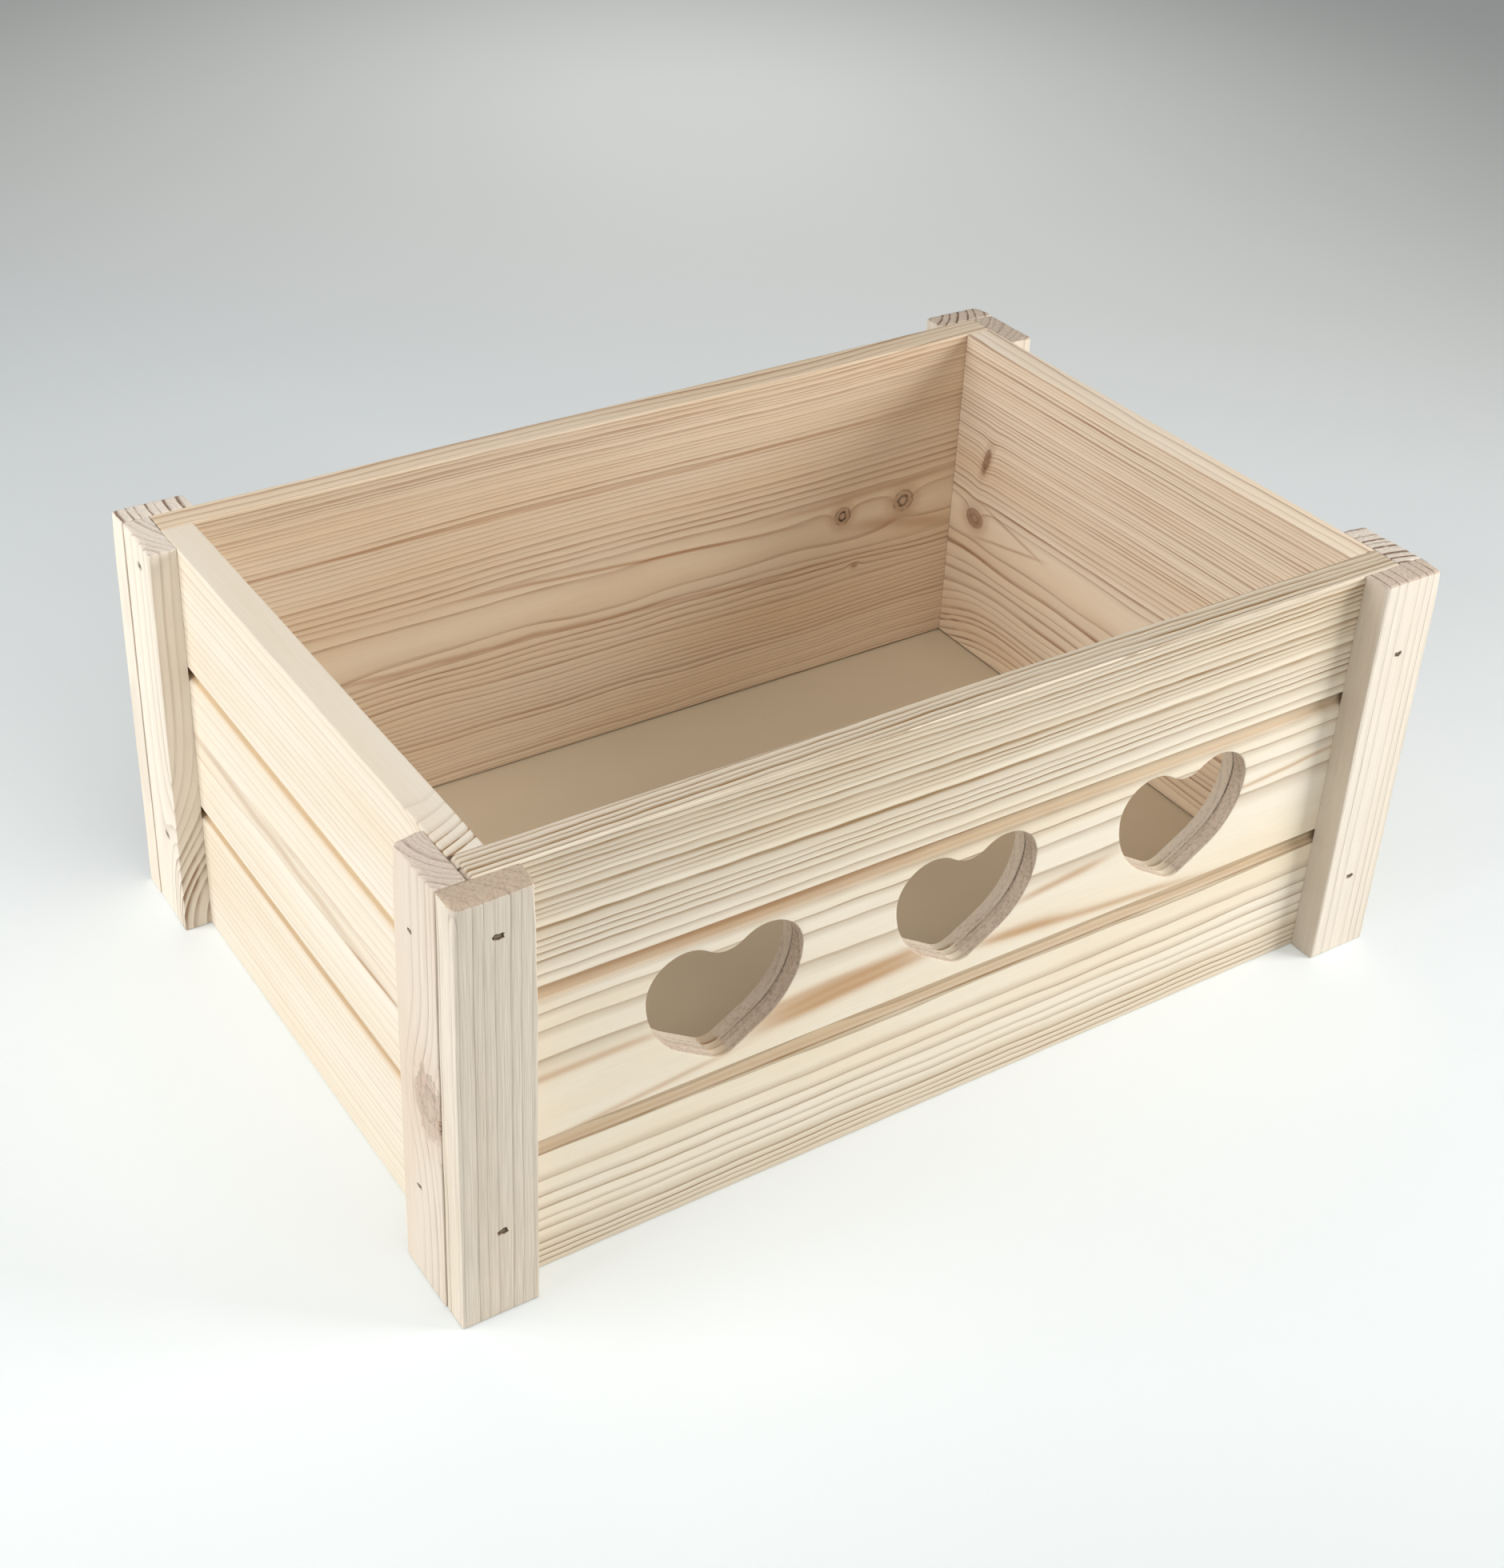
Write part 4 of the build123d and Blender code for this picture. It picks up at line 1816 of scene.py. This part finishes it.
BACK_GRAIN = PineGrain(
    seed=5.0, pith_across=102.0, pith_depth=54.0, ring_width=1.85, waver=5.0, contrast=0.88,
    line_width=0.9, face_depth=14.0, phase=0.28, milled_bands=GROOVES,
    knots=(
        Knot(130.8, 105.3, 5.0, 4.8, 1.0, eye=1.0, dark=1.0),
        Knot(167.8, 104.8, 6.4, 6.0, 1.0, eye=1.0, dark=0.85),
        Knot(140.3, 75.3, 2.2, 1.3, 1.5, dark=0.6),
    ),
    streaks=(
        Streak(10.0, 112.0, 85.0, 0.9, -0.06, 0.75, 1.0),
        Streak(150.0, 115.0, 60.0, 1.6, 0.03, 0.45, 1.5),
        Streak(165.0, 93.0, 30.0, 3.6, -0.18, 0.5, 2.0),
        Streak(-90.0, 88.0, 110.0, 1.4, -0.02, 0.5, 3.0),
        Streak(60.0, 83.0, 80.0, 1.2, -0.03, 0.45, 3.0),
        Streak(-20.0, 154.0, 200.0, 0.8, 0.0, 0.5, 1.0),
    ),
)
RIGHT_GRAIN = PineGrain(
    seed=6.5, pith_across=96.0, pith_depth=34.0, ring_width=2.0, squeeze=0.6, waver=3.0, contrast=1.15,
    softness=0.12, line_width=0.75, face_depth=14.0, phase=0.2, milled_bands=GROOVES,
    knots=(
        Knot(103.0, 129.5, 2.4, 7.5, 1.6, 2.2, lean=-0.25, dark=0.95, eye=0.3, rough=0.5),
        Knot(107.5, 95.7, 6.6, 5.2, 1.6, dark=0.9, eye=0.2),
        Knot(143.0, 24.0, 34.0, 34.0, -9.0, 1.0, 0.0),
    ),
    streaks=(
        Streak(80.0, 100.6, 24.0, 0.8, 0.21, 0.6, 0.9, 9.0),
        Streak(80.0, 91.4, 24.0, 0.8, -0.2, 0.6, 0.9, 9.0),
    ),
)

# Wood of the battens, by the side that each is on and the end that it is at
BATTEN_GRAINS = {
    "front_left": PineGrain(
        seed=1.2, pith_across=52.0, pith_depth=50.0, ring_width=3.3, waver=1.5, contrast=0.75,
        end_contrast=0.15, fuzz=0.5, line_width=0.5, fibres=4.0,
    ),
    "front_right": PineGrain(
        seed=2.4, pith_across=-60.0, pith_depth=8.0, ring_width=5.0, waver=1.5, contrast=0.65,
        end_contrast=1.1, line_width=0.6, fibres=2.0,
        # This streak darkens and tints the batten's whole left side face, at -16 mm across, along its
        # length.
        streaks=(Streak(94.0, -16.0, 150.0, 1.0, 0.0, 0.6, 0.2),),
    ),
    "back_left": PineGrain(
        seed=3.7, pith_across=60.0, pith_depth=8.0, ring_width=4.2, waver=2.0, contrast=0.6,
        end_contrast=1.1,
    ),
    "back_right": PineGrain(
        seed=4.9, pith_across=-30.0, pith_depth=-16.0, ring_width=4.4, waver=3.0, contrast=0.6,
        end_contrast=1.5,
    ),
    "left_front": PineGrain(
        seed=5.3, pith_across=12.0, pith_depth=28.0, ring_width=2.6, waver=3.0, contrast=0.8,
        end_contrast=0.45, line_width=0.6, fibres=2.2,
        knots=(
            Knot(90.0, -7.5, 15.0, 10.5, 5.0, 1.8, 0.6, eye=0.3, rough=0.7),
            Knot(86.0, -15.2, 3.4, 1.1, 0.0, 1.0, 1.0, eye=0.8, rough=0.6),
        ),
    ),
    "left_back": PineGrain(
        seed=6.1, pith_across=25.0, pith_depth=60.0, ring_width=3.4, waver=2.0, contrast=0.55,
        end_contrast=0.4, line_width=1.1,
        knots=(Knot(0.0, -20.0, 50.0, 14.0, -34.0, 1.0, 0.0, bold=1.2),),
    ),
    "right_front": PineGrain(
        seed=7.4, pith_across=-50.0, pith_depth=16.0, ring_width=4.2, waver=2.5, contrast=0.8,
        end_contrast=1.6, line_width=1.2,
    ),
    "right_back": PineGrain(
        seed=8.6, pith_across=30.0, pith_depth=30.0, ring_width=3.4, waver=3.0, contrast=0.6,
        end_contrast=0.4,
    ),
}

# Colours of the boards
CREAM = PineTone(early="f4e9d6", warm="f0e0c5", late="9c7b52", resin="bb8a55")
PALE = PineTone(early="f0e5d4", warm="ecddc5", late="a58460", resin="b08a62", milled_and_shaded="e4c898")
# TAN is warmer and deeper than the other boards' tones, partly for the warm, shaded light inside the box:
# painted bounce light and shade.
TAN = PineTone(early="f2dfc5", warm="edd5b4", late="9d6d47", resin="a9713f")
# PEACH is brighter than the other tones to make up for light that the right board's inner face lacks: partly
# painted light.
PEACH = PineTone(early="fff0da", warm="fce6ca", late="9d6d47", resin="a9713f")

# Colours of the battens
BATTEN_TONE = PineTone(early="eadfcd", warm="e5d6c0", late="9c7f65")
GREY_BATTEN = PineTone(early="e6dac9", warm="dfd0bb", late="8f7a66", end_early="ccb7a1", end_late="846d5b")
PINK_BATTEN = PineTone(
    early="e3d6c6", warm="dfcdb8", late="957a62", knot="ab8a78", resin="c9a486", end_early="e2d2c2"
)
LIGHT_BATTEN = PineTone(early="ede2d3", warm="eaddca", late="9c7f65", resin="8a7355")
STRIPED_BATTEN = PineTone(
    early="f3e9da", warm="eee1ce", late="9c7f65", end_early="f2e6d8", end_late="8f7763"
)

# Battens that differ from the others in colour, and those that differ in size
BATTEN_TONES = {
    "front_left": GREY_BATTEN,
    "left_front": PINK_BATTEN,
    "front_right": LIGHT_BATTEN,
    "right_front": STRIPED_BATTEN,
    "back_left": STRIPED_BATTEN,
    "left_back": STRIPED_BATTEN,
}
BATTEN_SIZES = {
    "front_left": {"wear": 3.8 * MM, "slot_width": 4.6 * MM, "slot_height": 2.6 * MM},
    "left_front": {"wear": 2.4 * MM},
    "front_right": {"slot_width": 3.7 * MM, "slot_height": 2.3 * MM},
    "left_back": {"skew": 0.9 * MM},
}


def boards() -> list[Board]:
    """List the four boards.

    Returns:
        The boards, ready to build.
    """
    gap = 0.2 * MM
    return [
        Board(
            "front_board", Lie.LONG_BOARD, 1.0, FRONT_GRAIN, CREAM, worn_end=3.0 * MM, hearts=3, end_gap=gap
        ),
        Board("back_board", Lie.LONG_BOARD, -1.0, BACK_GRAIN, TAN, end_gap=gap),
        Board("left_end_board", Lie.END_BOARD, 1.0, LEFT_GRAIN, PALE),
        Board("right_end_board", Lie.END_BOARD, -1.0, RIGHT_GRAIN, PEACH),
    ]


def battens() -> list[Batten]:
    """List the eight battens, two at each corner.

    Returns:
        The battens, ready to build.
    """
    made = []
    for face, face_inward in (("front", 1.0), ("back", -1.0)):
        for end, end_inward in (("left", 1.0), ("right", -1.0)):
            face_batten = (f"{face}_{end}", Lie.FACE_BATTEN, face_inward)
            side_batten = (f"{end}_{face}", Lie.SIDE_BATTEN, end_inward)
            for place, lie, inward in (face_batten, side_batten):
                wood = (BATTEN_GRAINS[place], BATTEN_TONES.get(place, BATTEN_TONE))
                made.append(Batten(f"{place}_batten", lie, inward, *wood, **BATTEN_SIZES.get(place, {})))
    return made


def keep_node(node: str, finish: bpy.types.Material) -> None:
    """Keep a node's own shape and give it a finish.

    Args:
        node: name of the node.
        finish: its material.
    """
    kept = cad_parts[node]
    kept.data.materials.clear()
    kept.data.materials.append(finish)
    log.info("%s: kept, with %s", node, finish.name)


def main() -> None:
    """Build the box and its studio."""
    logging.basicConfig(level=logging.INFO, format="%(message)s")
    for board in boards():
        board.build()
    made = battens()
    for batten in made:
        batten.build()
    steel = BradFinish().make()
    Brads(made).build(steel)
    keep_node("floor_panel", SheetFinish().make())
    for node in sorted(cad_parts):
        if node.endswith("_corner_nails"):
            keep_node(node, steel)
    Studio().build()


if __name__ == "__main__":
    main()
